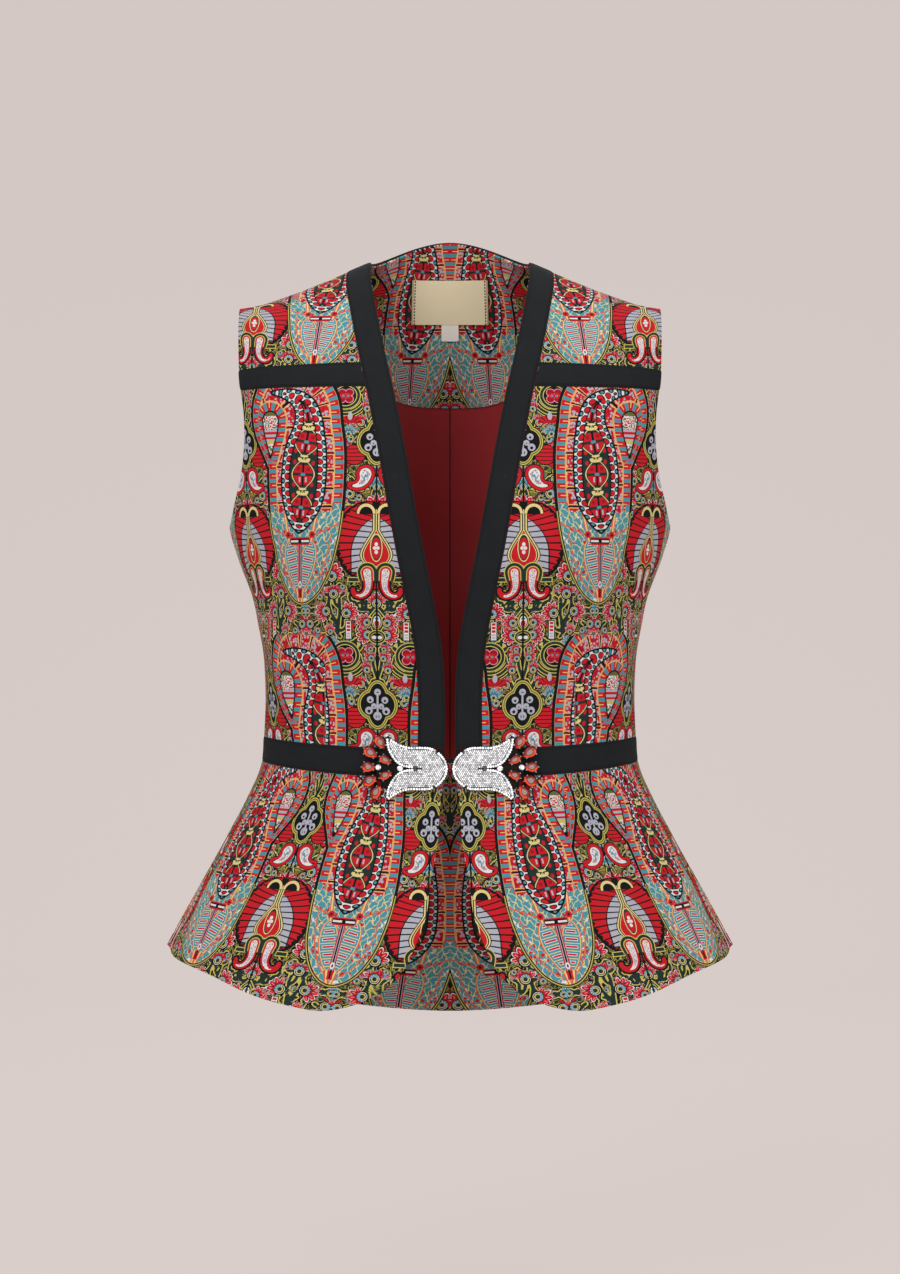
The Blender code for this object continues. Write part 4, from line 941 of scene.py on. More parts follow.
def drawBoteh(paint, colour, x, y, place):
    # bands round the boteh's edge and its eye, a beaded core with lozenges, a leafy bulb at its foot
    depth, eye, lane, core, run, side = (
        paint.field(name) for name in ("depth", "eye", "lane", "core", "run", "side"))
    colour = paint.layers(colour, (
        ("ground", depth < 2.5), ("olive", (depth < 2.1) & (y > -24)),
        ("yellow", (depth < 1.6) & (y > -24)), ("ground", depth < 1)))

    deep = (0 - depth) & eye
    block = lane % 13.6
    blob, _ = paint.cells(place, 0.40)
    blocks = paint.over("red", "grey", blob < 0.40)
    blocks = paint.over(blocks, "crimson", blob > 0.78)
    frameLine = (within(block, 1.9, 2.6) | (block > 12.9)) & (deep > 8.6)
    blocks = paint.over(blocks, "gold", frameLine | (within(deep, 7.7, 8.4)))
    blocks = paint.over(blocks, "ground", block < 1.3)
    colour = paint.over(colour, blocks, deep > 0)
    beat = lane % 7.2
    edge = paint.over("red", "teal", beat < 2.9)
    edge = paint.over(edge, "gold", within(beat, 4.6, 5.4) & (deep > 2.6))
    colour = paint.over(colour, "gold", within(deep, 0, 7.5))
    colour = paint.over(colour, edge, within(deep, 0.2, 6.9))

    pip, _ = paint.cells(place, 0.46)
    heart = paint.layers("white", (
        ("red", pip < 0.36), ("olive", (pip > 0.62) | (y < -98)), ("grey", within(y, -87, -79)),
        ("red", within(y, -85.6, -83.6) | within(y, -81.6, -80)), ("yellow", within(y, -79, -76.4))))
    colour = paint.over(colour, "ground", (eye < 0.5) & (depth < 0))
    colour = paint.over(colour, heart, eye < -0.7)

    bulbBox = cloth["bulb"]
    axis = (y - 16) * bulbBox["lean"] + bulbBox["axis"]
    rise, out = bulbBox["foot"] - y, abs(x - axis)
    bulb = (y > -30 + ((0 - depth) > 7.4) * 6.5) & (depth < -0.2)
    colour = paint.over(colour, drawBulb(paint, rise, out, 0 - depth, place), bulb)

    colour = paint.over(colour, "ground", core < 1)
    inner = 0 - core
    scallop = run % 6.4
    between = (run + 3.2) % 6.4
    white = paint.layers("white", (
        ("ground", disc(scallop, inner, 3.2, 5.4, 2.7, 3.2)),
        ("red", disc(scallop, inner, 3.2, 4.6, 1.9, 1.8)),
        ("ground", disc(between, inner, 3.2, 0.6, 2.2, 2.5)),
        ("teal", disc(between, inner, 3.2, 1.3, 1, 1))))
    colour = paint.over(colour, white, inner > 0.3)
    colour = paint.over(colour, "ground", inner > 6.2)
    out = abs(side)
    middle = paint.over("deep", "ground", inner < 7.2)
    link = (run - 6) % 25
    bow = paint.sum("SINE", link * (math.pi / 25))
    shape = bow * 10 - out
    middle = paint.layers(middle, (
        ("cream", shape > 0), ("deep", shape > 0.9),
        ("red", (shape > 1.7) & (within(link, 4.6, 11.4) | within(link, 13.6, 19.6))),
        ("grey", within(out, 2, 3.4) & within(link, 6.6, 10.4)),
        ("ground", within(out, 0, 0.9) & within(link, 4, 21)),
        ("crimson", disc(out, link, 4.2, 16.6, 1.5, 1.5)), ("teal", disc(out, link, 0, 12.5, 2.2, 1.2))))
    knots = disc(out, link, 0, 22.6, 4.4, 1) | disc(out, link, 0, 1.4, 3.4, 0.9)
    knots = knots | disc(out, link, 3.6, 24, 1.6, 1.6)
    middle = paint.over(middle, "cream", knots)
    beads = disc(out, (run + 2) % 8.4, 7.8, 4.2, 1.4, 1.8) & (shape < -0.8)
    middle = paint.over(middle, "red", beads)
    return paint.over(colour, middle, inner > 7)


def drawBulb(paint, rise, out, deep, place):
    # a leaf on each side with slanting veins, two ribbed ovals, the stem between, and the calyx
    warp = paint.noise(place, 0.22, 1)
    slant = rise * 0.75 - out * 0.8 + warp * 7
    vein = (slant % 4.6) < 0.8
    cross = ((rise * 0.5 + out * 1.1 - warp * 5) % 7.4) < 0.55
    _, cellColour = paint.cells(place, 0.36)
    cellEdge, _ = paint.cells(place, 0.36, "DISTANCE_TO_EDGE")
    pick = paint.node("SeparateColor", {}, {0: cellColour})
    leaf = paint.layers("teal", (
        ("cream", vein | cross), ("red", (pick < 0.20) & (cellEdge > 0.17)),
        ("white", (pick > 0.84) & (cellEdge > 0.17)), ("orange", within(deep, 4.4, 5.2) & (rise < 52))))
    bar = rise - 45 - out * 0.42
    leaf = paint.over(leaf, "orange", (abs(bar) < 0.6) & (out > 6))
    share = paint.sum("POWER", ((rise - 9) / 36.5 | 0) & 1, 1.3)
    wide = paint.sum("SQRT", paint.sum("SINE", share * math.pi) | 0) * 6.3
    middle = (rise - 9) * 0.19 + 3.2
    oval = wide - abs(out - middle)
    leaf = paint.layers(leaf, (
        ("orange", oval > -1.4), ("cream", oval > -0.6), ("teal", oval > 0)))
    rung = (rise + out * 0.2) % 6
    return paint.layers(leaf, (
        ("cream", (oval > 0.3) & (rung < 0.7)), ("white", (oval > 1.5) & within(rung, 2.3, 4.7)),
        ("red", (oval > 1.9) & within(rung, 2.8, 4.2)), ("red", (out < 2) & within(rise, 2, 43)),
        ("grey", (out < 1.1) & within(rise, 9, 43)), ("ground", (out < 0.6) & within(rise, 3, 43)),
        ("white", disc(out, rise, 0, 12.5, 1.7, 2.6)), ("ground", disc(out, rise, 0, 12.5, 0.6, 1.3)),
        ("red", (out < 8.5) & within(rise, 43, 49)), ("ground", (out < 9) & within(rise, 44.2, 48)),
        ("white", within(out, 1.4, 8.4) & within(rise, 45.2, 46.8)),
        ("red", disc(out, rise, 11, 50.8, 2.6, 2.6)), ("ground", disc(out, rise, 11, 50.8, 0.9, 0.9))))


tapeLook = {"wide": 20.0, "stitchAt": 1.6, "stitchWide": 0.35, "groove": 0.55, "pitch": 2.6, "stitch": 2.0,
            "rib": 0.9}


def makeTape():
    # matt black twill: fine slanting ribs, a little dust, two rows of stitches sunk near the edges, with
    # painted shade in their grooves
    paint = Paint("tape", Roughness=0.9, Specular_IOR_Level=0.1)
    flatMap, u, v = paint.flat()
    twill = paint.sum("SINE", (u + v) * (2 * math.pi / tapeLook["rib"]))
    fine = paint.noise(flatMap, 160.0, 2.0)
    soft = paint.noise(flatMap, 6.0, 3.0)
    lint = paint.noise(flatMap, 40.0, 0.0) > 0.84
    colour = paint.over(rgb(16, 18, 20), rgb(40, 42, 45), fine * 0.7 + soft * 0.3)
    colour = paint.over(colour, rgb(120, 120, 122), lint * 0.08)
    middle = tapeLook["wide"] / 2
    fromRow = abs(abs(v - middle) - (middle - tapeLook["stitchAt"]))
    sewn = (fromRow < tapeLook["stitchWide"]) & ((u % tapeLook["pitch"]) < tapeLook["stitch"])
    # painted shade in the grooves where the stitches sink in
    colour = paint.over(colour, rgb(14, 15, 16), fromRow < tapeLook["groove"])
    colour = paint.over(colour, rgb(34, 35, 37), sewn)
    paint.colour(colour)
    paint.bump(twill * 0.25 + fine * 0.7 + sewn * 0.8, 0.20 * mm)
    return paint.material


def makeLining():
    # smooth burgundy satin with faint threads
    paint = Paint("lining", Roughness=0.5, Specular_IOR_Level=0.2)
    flatMap, u, v = paint.flat()
    thread = paint.noise(paint.stretch(flatMap, (300.0, 30.0, 1.0)), 1.0)
    soft = paint.noise(flatMap, 2.2, 2.0)
    colour = paint.over(rgb(140, 32, 36), rgb(164, 40, 44), soft * 0.6 + thread * 0.4)
    colour = paint.over(colour, rgb(84, 18, 22), abs(u) < 0.7)
    paint.colour(colour)
    paint.bump(thread * 0.4 + soft * 2.0, 0.3 * mm)
    return paint.material


brocade = makeBrocade()
tape = makeTape()
liningCloth = makeLining()
print("cloth materials ready")

fronts = {
    "column": 54.5,          # the first column of figures, from the centre front
    "comb": 22.0,            # how far the comb lies below the chest line
    "dart": {"at": 97.0, "top": -0.295, "low": -0.379, "intake": 20.0},
    "yoke": (42.5, 43.5),    # where the yoke's lower front corner lies in the drawing
    "grid": (112, 226), "yokeGrid": (78, 74),
    "folds": (
        # distance from the middle, height, lean, half length, half width, height, all in mm
        (118, -300, 60, 26, 7, 1.6), (132, -318, 75, 30, 6, 1.4), (108, -322, 100, 24, 5, -1.3),
        (126, -345, 95, 24, 5, 1.2), (138, -352, 80, 20, 4, -1.0), (112, -352, 88, 16, 5, 1.0),
        (96, -338, 93, 42, 2.2, -1.1), (72, -350, 96, 26, 7, 0.7), (140, -290, 50, 22, 8, 1.0),
        (60, -250, 80, 50, 14, 0.8), (110, -150, 70, 40, 10, 0.7), (140, -225, 20, 26, 8, -0.7),
        (84, -280, 80, 34, 9, 0.8), (34, -330, 95, 50, 10, 0.6)),
}


def makeFronts():
    # bodice fronts, yokes and the tape between them
    seam = form["seam"]
    inner, outer = innerLine("waistTopFront", "yokeLow"), outerLine("waistTopFront", "yokeLow", False)
    bottom = seamLine("waistTopFront", inner[0, 0], quarter, seam / 2)
    top = seamLine("yokeLow", inner[-1, 0], outer[-1, 0], -seam / 2)
    grid = patch(bottom, top, inner, outer, *fronts["grid"])
    points, normals = placed(grid)
    points = creased(points, normals, fronts["folds"])
    u, v = clothMap(grid, False)
    dart = fronts["dart"]
    taken = np.clip((dart["top"] - points[..., 2]) / (dart["top"] - dart["low"]), 0, 1) * dart["intake"]
    u = u - fronts["column"] + np.where(u > dart["at"], taken, 0)
    v = v - fronts["comb"]
    addPair("front_panel", "front", "brocade", points, normals, [brocade, liningCloth], (u, v),
            drawCloth(u, v), (0.20, 0.30), insideSlot=1)

    inner, outer = innerLine("yokeTop", None), outerLine("yokeTop", None, False)
    bottom = seamLine("yokeTop", inner[0, 0], outer[0, 0], seam / 2)
    top = ridgeLine(inner[-1, 0], outer[-1, 0])
    grid = patch(bottom, top, inner, outer, *fronts["yokeGrid"])
    points, normals = placed(grid)
    u, v = clothMap(grid, False)
    u, v = u - fronts["yoke"][0], v - v[0].mean() + fronts["yoke"][1]
    addPair("yoke_panel", "front_yoke", "brocade", points, normals, [brocade, liningCloth], (u, v),
            drawCloth(u, v), (0.13, 0.13), insideSlot=1)

    inner, outer = innerLine("yokeLow", "yokeTop"), outerLine("yokeLow", "yokeTop", False)
    bottom = seamLine("yokeLow", inner[0, 0], outer[0, 0], seam / 2)
    top = seamLine("yokeTop", inner[-1, 0], outer[-1, 0], -seam / 2)
    addTape("yoke_trim", "yoke_tape", patch(bottom, top, inner, outer, 60, 12), False, (0.13, 0.020))


def tapeLift(share):
    # how far a tape stands out at a share of its width: it thins out over its last millimetre
    return form["tapeProud"] * (1 - abs(2 * share - 1) ** 8)


def addTape(name, node, grid, back, cut, whole=False):
    # a tape along a seam, in two halves or in one piece
    points, normals = placed(grid, back)
    share = np.linspace(0, 1, grid.shape[0])[:, None]
    across = share * tapeLook["wide"] * np.ones(grid.shape[:2])
    u, _ = clothMap(grid, back)
    make = addWhole if whole else addPair
    lift = tapeLift(share)[..., None] * np.ones((*grid.shape[:2], 1))
    if whole:
        lift = unfolded(lift, 1)
    make(name, node, "tape", points, normals, [tape], (u, across), cut=cut,
         outer=lift, thick=form["cloth"] + lift)


def makeNeckBand():
    # up the front edge, over the shoulder and round the back of the neck
    top, band = form["arch"] * quarter, form["neck"]["band"]
    across = np.linspace(0, band, 14)
    start = form["waistTopFront"][0] - form["chest"] + form["seam"]
    climbs = np.concatenate([np.linspace(start, 0, 60)[:-1], np.linspace(0, top, 90)])
    rows = neckRows(climbs, across)
    front = placed(rows)
    turns = np.linspace(0, quarter, 42)[1:]
    rows = np.array([spaced(backNeckLine(turn), across, True) for turn in turns])
    points, normals = (np.concatenate(both) for both in zip(front, placed(rows, True)))
    along = lengthsAlong(points[:, 7])[:, None] / mm * np.ones((1, 14))
    lift = tapeLift((across / band)[None, :, None]) * np.ones((len(points), 1, 1))
    uv = (along, (across / mm)[None, :] * np.ones((len(points), 1)))
    addPair("neck_trim", "neck_band", "tape", points, normals, [tape], uv, cut=(0.60, 0.021),
            outer=lift, thick=form["cloth"] + lift)


backs = {"seamAt": 29.0, "comb": -132.0, "grid": (90, 190), "liningGrid": (60, 130), "folds": (
    (60, -330, 92, 40, 9, 0.8), (110, -320, 80, 30, 9, 1.0), (80, -250, 85, 60, 16, 0.7),
    (130, -340, 88, 24, 6, 0.9), (40, -200, 95, 60, 16, 0.5), (120, -180, 60, 40, 12, 0.6))}


def backGrid(low, reach, counts):
    # from a seam at the waist up to a curve round the neck and then the shoulder seam
    turns = np.linspace(quarter, 0, 40)
    roundNeck = np.array([spaced(backNeckLine(turn), [reach(turn)], True)[0] for turn in turns])
    outer = outerLine(low, None, True)
    top = np.concatenate([roundNeck, ridgeLine(roundNeck[-1, 0], outer[-1, 0])[1:]])
    bottom = seamLine(low, 0.0, quarter, form["seam"] / 2)
    climb = np.linspace(bottom[0, 1], roundNeck[0, 1], 400)
    inner = pairs(0.0, climb)
    return patch(bottom, top, inner, outer, *counts, True)


def makeBacks():
    # back panels, their lining and the facing inside the neck
    seam, band = form["seam"], form["neck"]["band"]
    grid = backGrid("waistTopBack", lambda turn: band + seam, backs["grid"])
    points, normals = placed(grid, True)
    points = creased(points, normals, backs["folds"])
    u, v = clothMap(grid, True)
    u, v = u + backs["seamAt"], v - backs["comb"]
    addPair("back_panel", "back", "brocade", points, normals, [brocade, liningCloth], (u, v),
            drawCloth(u, v), (0.22, 0.40), insideSlot=1)

    grid = backGrid("waistLowBack", lambda turn: facingDepth(turn) + seam, backs["liningGrid"])
    points, normals = placed(grid, True)
    under = form["cloth"] + form["liningEase"]
    addPair("lining_panel", "back_lining", "lining", points, normals, [liningCloth], clothMap(grid, True),
            cut=(0.22, 0.40), outer=-under, thick=form["lining"])

    turns = np.linspace(0, quarter, 84)
    away = np.array([np.linspace(0, facingDepth(turn), 76) for turn in turns])
    rows = np.array([spaced(backNeckLine(turn), far, True) for turn, far in zip(turns, away)])
    points, normals = placed(rows, True)
    loose = np.clip(away / band, 0, 1)[..., None]
    under = form["cloth"] + seam + (form["facingEase"] - seam) * loose
    u, v = clothMap(rows, True)
    u, v = u + backs["seamAt"], v - backs["comb"]
    addPair("facing_panel", "back_neck_facing", "brocade", points, normals, [brocade], (u, v),
            drawCloth(u, v), (0.16, 0.17), outer=-under, thick=form["facing"])


def makeWaist():
    # the tape round the waist: one strip on each front and one across the back
    seam = form["seam"]
    z = np.linspace(form["waistLowFront"][1] + seam / 2, form["waistTopFront"][1] - seam / 2, 50)
    side = pairs(quarter, z - form["chest"])
    z = np.linspace(form["waistLowFront"][0] + seam / 2, form["waistTopFront"][0] - seam / 2, 50)
    inner = pairs(angleAt(neckline(z), z), z - form["chest"])
    bottom = seamLine("waistLowFront", inner[0, 0], quarter, seam / 2)
    top = seamLine("waistTopFront", inner[-1, 0], quarter, -seam / 2)
    grid = patch(bottom, top, inner, side, 110, 12)
    addTape("waist_trim", "waistband_front", grid, False, (0.20, 0.023))
    z = np.linspace(form["waistLowBack"][0] + seam / 2, form["waistTopBack"][0] - seam / 2, 50)
    centre = pairs(0.0, z - form["chest"])
    bottom = seamLine("waistLowBack", 0.0, quarter, seam / 2)
    top = seamLine("waistTopBack", 0.0, quarter, -seam / 2)
    grid = patch(bottom, top, centre, side, 90, 12, True)
    addTape("waist_trim_back", "waistband_back", grid, True, (0.38, 0.023), whole=True)


peplum = {
    "hemSide": -0.5327, "hemFront": -0.5766, "hemBack": -0.6020, "frontBend": 2.6, "backBend": 2.0,
    "corner": {"z": -0.5533, "rise": 20.8 * mm, "start": 51.1 * mm, "end": 103 * mm, "bend": 1.6},
    "cutaway": (
        # height, distance from the middle
        (-0.6000, 0.1100), (-0.5533, 0.0511), (-0.5404, 0.0364), (-0.5193, 0.0254), (-0.5028, 0.0188),
        (-0.4753, 0.0144), (-0.4462, 0.0093), (-0.4162, 0.0071), (-0.3980, 0.0042)),
    "level": -0.500, "column": 17.0, "comb": 312.0, "combBack": 180.0, "grid": (128, 112),
    "folds": ((60, -470, 98, 60, 14, 0.9), (140, -460, 80, 60, 12, 0.9), (100, -500, 88, 70, 16, -0.6)),
}
cutaway = curveThrough(peplum["cutaway"], 1)


def hemLine(back, start):
    # the hem by a power of the cosine; the front one rises into its round corner
    angle = np.linspace(start, quarter, 500)
    low = peplum["hemBack" if back else "hemFront"]
    bend = peplum["backBend" if back else "frontBend"]
    z = peplum["hemSide"] + (low - peplum["hemSide"]) * np.cos(angle) ** bend
    if not back:
        corner = peplum["corner"]
        x = halfWidth(z) * ringX(angle)
        share = np.clip((corner["end"] - x) / (corner["end"] - corner["start"]), 0, 1)
        z = z + corner["rise"] * share ** corner["bend"]
    return pairs(angle, z - form["chest"])


def makePeplum():
    # fronts cut away from the centre, and backs; the drawing fans out with the flare
    seam, chest = form["seam"], form["chest"]
    z = np.linspace(peplum["hemSide"], form["waistLowFront"][1] - seam / 2, 300)
    side = pairs(quarter, z - chest)
    z = np.linspace(peplum["corner"]["z"], form["waistLowFront"][0] - seam / 2, 400)
    edge = pairs(angleAt(cutaway(z), z), z - chest)
    hem = hemLine(False, edge[0, 0])
    hem[0] = edge[0]
    top = seamLine("waistLowFront", edge[-1, 0], quarter, -seam / 2)
    addFlare("peplum_front_panel", "peplum_front", patch(hem, top, edge, side, *peplum["grid"]), False,
             -peplum["column"], peplum["comb"])
    hem = hemLine(True, 0.0)
    climb = np.linspace(hem[0, 1], form["waistLowBack"][0] - seam / 2 - chest, 300)
    centre = pairs(0.0, climb)
    top = seamLine("waistLowBack", 0.0, quarter, -seam / 2)
    addFlare("peplum_back_panel", "peplum_back", patch(hem, top, centre, side, *peplum["grid"], True), True,
             backs["seamAt"], peplum["combBack"])


def addFlare(name, node, grid, back, shift, comb):
    # the drawing's distance across is the one at a level halfway down, so that its columns fan out
    points, normals = placed(grid, back)
    points = creased(points, normals, peplum["folds"])
    level = pairs(grid[..., 0], peplum["level"] - form["chest"])
    u, _ = clothMap(level, back)
    _, v = clothMap(grid, back)
    u, v = u + shift, v - comb
    addPair(name, node, "brocade", points, normals, [brocade], (u, v), drawCloth(u, v), (0.34, 0.24))


makeFronts()
print("fronts ready")
makeNeckBand()
makeBacks()
print("backs ready")
makeWaist()
makePeplum()
print("peplum ready")

label = {
    "wide": 65 * mm, "top": -0.0032, "low": -0.0382, "tabWide": 14.5 * mm, "tabHigh": 13 * mm,
    "gap": 0.9 * mm, "thick": 0.8 * mm,
    # from the middle to the fold and to the stitches, in mm, then a stitch's step and length
    "fold": 31.8, "stitchAt": 30.4, "pitch": 2.4, "stitch": 1.5,
}


def makeLabel(name, low, high, stitched):
    # a bare woven label: fine ribs, dark running stitches at its short ends, and a line of painted shade
    # where each end folds
    paint = Paint(name, Roughness=0.85)
    flatMap, u, v = paint.flat()
    ribs = paint.sum("SINE", v * (2 * math.pi / 0.5))
    fine = paint.noise(flatMap, 120.0, 2.0)
    colour = paint.over(low, high, fine * 0.8 + ribs * 0.1)
    if stitched:
        # painted shade along the fold at each end
        colour = paint.over(colour, rgb(160, 146, 112), abs(abs(u) - label["fold"]) < 0.35)
        ends = (abs(abs(u) - label["stitchAt"]) < 0.55) & ((v % label["pitch"]) < label["stitch"])
        colour = paint.over(colour, rgb(44, 38, 30), ends)
    paint.colour(colour)
    paint.bump(ribs * 0.4 + fine * 0.5, 0.15 * mm)
    return paint.material


def makeLabels():
    # follows the inside of the back neck at fixed heights
    under = form["cloth"] + form["facingEase"] + form["facing"] + label["gap"]
    climbs = np.linspace(0.2 * form["arch"], form["arch"] * quarter, 900)
    tabTop = label["low"] - form["seam"]
    for name, node, half, low, high, finish in (
        ("woven_label", "neck_label", label["wide"] / 2, label["low"], label["top"],
         makeLabel("label", rgb(232, 219, 180), rgb(250, 238, 202), True)),
        ("size_label", "size_tab", label["tabWide"] / 2, tabTop - label["tabHigh"], tabTop,
         makeLabel("tab", rgb(246, 242, 230), rgb(254, 252, 244), False)),
    ):
        heights, columns = np.linspace(low, high, 24), []
        for x in np.linspace(0, half, 20):
            angle = angleAt(x, form["chest"])
            z = surface(angle, climbs, True)[:, 2]
            rising = np.argmax(z)
            climb = np.interp(heights, z[:rising], climbs[:rising])
            columns.append(pairs(angle, climb))
        grid = np.array(columns).transpose(1, 0, 2)
        points, normals = placed(grid, True)
        uv = (points[..., 0] / mm, points[..., 2] / mm)
        addWhole(name, node, "label", points, normals, [finish], uv,
                 cut=(2.1 * half, 1.15 * (high - low)), outer=-under, thick=label["thick"])


makeLabels()
print("labels ready")

clasp = {
    "z": -0.3906, "y": -100 * mm, "yaw": math.radians(6.6),
    "fan": {"out": 2.9, "thick": 1.2, "x": 34, "radius": 21, "narrow": 5, "angles": (-50, 54)},
    "plate": {"out": 4.4, "thick": 1.5, "round": 0.5, "dome": 0.4, "middle": 24, "reach": 36},
    "outer": (
        # distance from the middle and height of the petal's outer edge, from the round end to the tip
        (0.8, 0.0), (2.3, 6.0), (6.6, 11.6), (13.0, 15.6), (21.0, 16.4), (30.0, 16.4), (38.5, 19.0),
        (47.6, 25.4)),
    "inner": (
        # the same for its inner edge, from the tip back to the notch between the petals
        (47.6, 25.4), (46.8, 16.2), (43.6, 9.2), (39.2, 3.8), (33.6, 0.9), (25.9, 0.0)),
    "steps": (48, 24),
    "pave": {"pitch": 1.5, "rowRise": 0.87, "start": 1.2, "size": 0.70, "high": 0.55},
    "rim": {"pitch": 2.0, "size": 0.94, "inset": 1.0, "high": 0.85},
    "gaps": (
        # a dark setting's distance from the middle, its height and its radius
        (8.5, 12.6, 0.9), (11.4, -13.9, 0.9), (46.0, 23.2, 1.3), (46.2, -23.6, 1.2), (24.0, 0.0, 0.75),
        (21.6, 0.0, 0.7)),
    "slit": {"from": 24, "half": 0.7},
    # how far the painted glints are lifted on the pave and on the rim's beads
    "bright": {"clasp_pave": 0.08, "clasp_rim": 0.34},
    "teardrops": (
        # distance from the middle, height, length, width, lean in degrees
        (51.6, 19.4, 10.5, 6.0, 58), (58.9, 11.8, 11.0, 6.4, 33), (60.4, 1.1, 9.8, 6.2, 0),
        (59.5, -9.1, 10.6, 6.4, -28), (54.8, -17.6, 11.0, 6.0, -54), (47.7, 6.3, 9.6, 5.0, 30),
        (47.6, -5.0, 9.6, 5.0, -25)),
    "stoneHigh": 3.0, "teardropFull": 1.24, "stoneGrow": (1.06, 1.22),
    "setting": {"half": (0.6, 0.68), "back": 0.4, "high": 1.3},
    "claw": {"size": 0.85, "out": 1.06, "low": 0.5, "high": 1.7},
    "clawsAt": (4, 10, 14, 18, 24),       # of the 28 corners round a stone
    "dome": (
        # a stone's width and height, in shares, from its foot to its crown
        (1.03, 0.0), (1.02, 0.35), (0.95, 0.6), (0.83, 0.78), (0.68, 0.9), (0.52, 0.955), (0.34, 0.985),
        (0.16, 1.0)),
    "whites": (
        # distance from the middle, height, width
        (53.4, 0.8, 4.2), (37.0, 0.0, 4.4)),
    "hook": {"half": 6.5, "z": 5.9, "high": 3.2, "out": 1.2, "thick": 2.2},
    "seed": 7,
}


def onClasp(x, height, out):
    # a flat turned by the yaw: along it, up it and out from it, all in mm
    x, height, out = (np.asarray(part, float) * mm for part in np.broadcast_arrays(x, height, out))
    c, s = math.cos(clasp["yaw"]), math.sin(clasp["yaw"])
    return np.stack([x * c + out * s, clasp["y"] + x * s - out * c, clasp["z"] + height], -1)


def plateRise(x, height):
    # a paraboloid over the plate's middle
    plate = clasp["plate"]
    return plate["dome"] * (1 - ((x - plate["middle"]) ** 2 + height**2) / plate["reach"] ** 2)


def shrunk(outline, by):
    # each corner moves in, square to its mean direction
    ahead, behind = np.roll(outline, -1, axis=0) - outline, outline - np.roll(outline, 1, axis=0)
    ahead /= np.linalg.norm(ahead, axis=1, keepdims=True)
    behind /= np.linalg.norm(behind, axis=1, keepdims=True)
    tangent = ahead + behind
    tangent /= np.maximum(np.linalg.norm(tangent, axis=1, keepdims=True), 0.1)
    return outline + by * np.stack([tangent[:, 1], -tangent[:, 0]], -1)


def insideOf(points, outline):
    # odd count of outline edges to the right of the point, and the distance to the outline
    inside = np.zeros(len(points), bool)
    x, y = points.T
    for (ax, ay), (bx, by) in zip(outline, np.roll(outline, -1, axis=0)):
        crosses = (ay > y) != (by > y)
        inside ^= crosses & (x < ax + (y - ay) * (bx - ax) / (by - ay if by != ay else 1e-9))
    closed = np.concatenate([outline, outline[:1]])
    return inside, lineDistance(x, y, closed, np.full(len(points), 99.0))


def joinFacets(name, node, corners, faces, material, attributes=None, smooth=False):
    # the wearer's left from its corners and faces, and its mirror image with the faces turned
    for side, mirror in sides:
        mesh = bpy.data.meshes.new(f"{name}_{side}")
        turned = faces if mirror > 0 else [tuple(reversed(face)) for face in faces]
        mesh.from_pydata((corners * [mirror, 1, 1]).tolist(), [], turned)
        for field, (domain, values) in (attributes or {}).items():
            store(mesh, field, domain, values)
        mesh.materials.append(material)
        if smooth:
            mesh.shade_smooth()
            mesh.set_sharp_from_angle(angle=math.radians(40))
        settle(linked(f"{name}_{side}", mesh), f"{node}_{side}")


def ringFaces(first, count, levels):
    # walls between stacked rings of corners, then the flat on top and the flat underneath
    faces = [(at + k, at + (k + 1) % count, at + count + (k + 1) % count, at + count + k)
             for at in range(first, first + (levels - 1) * count, count) for k in range(count)]
    top = first + (levels - 1) * count
    return faces + [tuple(range(top, top + count)), tuple(reversed(range(first, first + count)))]


def stones(centres, sizes, base, high, shares, turn=0.5, count=8):
    # rings of corners that narrow upwards, closed by a flat table and a flat underside
    around = (np.arange(count) + turn) * 2 * math.pi / count
    corners, faces, levels = [], [], len(shares)
    for (x, height), size, low in zip(centres, sizes, base):
        faces += ringFaces(len(corners) * count * levels, count, levels)
        rings = [onClasp(x + np.cos(around) * size * share, height + np.sin(around) * size * share,
                         low + high * rise) for share, rise in shares]
        corners.append(np.concatenate(rings))
    return np.concatenate(corners), faces


def makeMetal(name, colour, roughness, worn):
    # polished metal with faint clouding
    paint = Paint(name, Metallic=1.0)
    place = paint.node("TexCoord", {}, {}, output=3)
    cloud = paint.noise(place, 900.0, 3.0)
    paint.colour(paint.over(colour, worn, cloud))
    paint.rough(cloud * 0.2 + roughness)
    paint.bump(cloud, 0.05 * mm)
    return paint.material


def makeCrystal():
    # painted glints and painted glow: each facet gets its own painted brightness, light or dark, as the cut
    # stones of a pave throw back light
    paint = Paint("pave", Metallic=0.2, Roughness=0.15, Coat_Weight=0.6, Coat_Roughness=0.05,
                  Emission_Strength=1.0)
    paintedGlint = paint.field("paintedGlint")
    # painted reflections: the facet's colour runs from dark to near white with its painted glint, and is
    # darkest below 0.16
    tone = paint.over(rgb(60, 60, 62), rgb(236, 237, 240), paint.sum("POWER", paintedGlint, 0.5))
    tone = paint.over(tone, rgb(30, 28, 28), paintedGlint < 0.16)
    paint.colour(tone)
    # painted glow, though the stones are no lamps: it grows with the painted glint and is near white on the
    # brightest facets
    glow = paint.over(rgb(0, 0, 0), rgb(168, 168, 170), paint.sum("POWER", paintedGlint, 1.2))
    glow = paint.over(glow, rgb(236, 236, 238), paintedGlint > 0.74)
    paint.feed(paint.shader.inputs["Emission Color"], glow)
    return paint.material


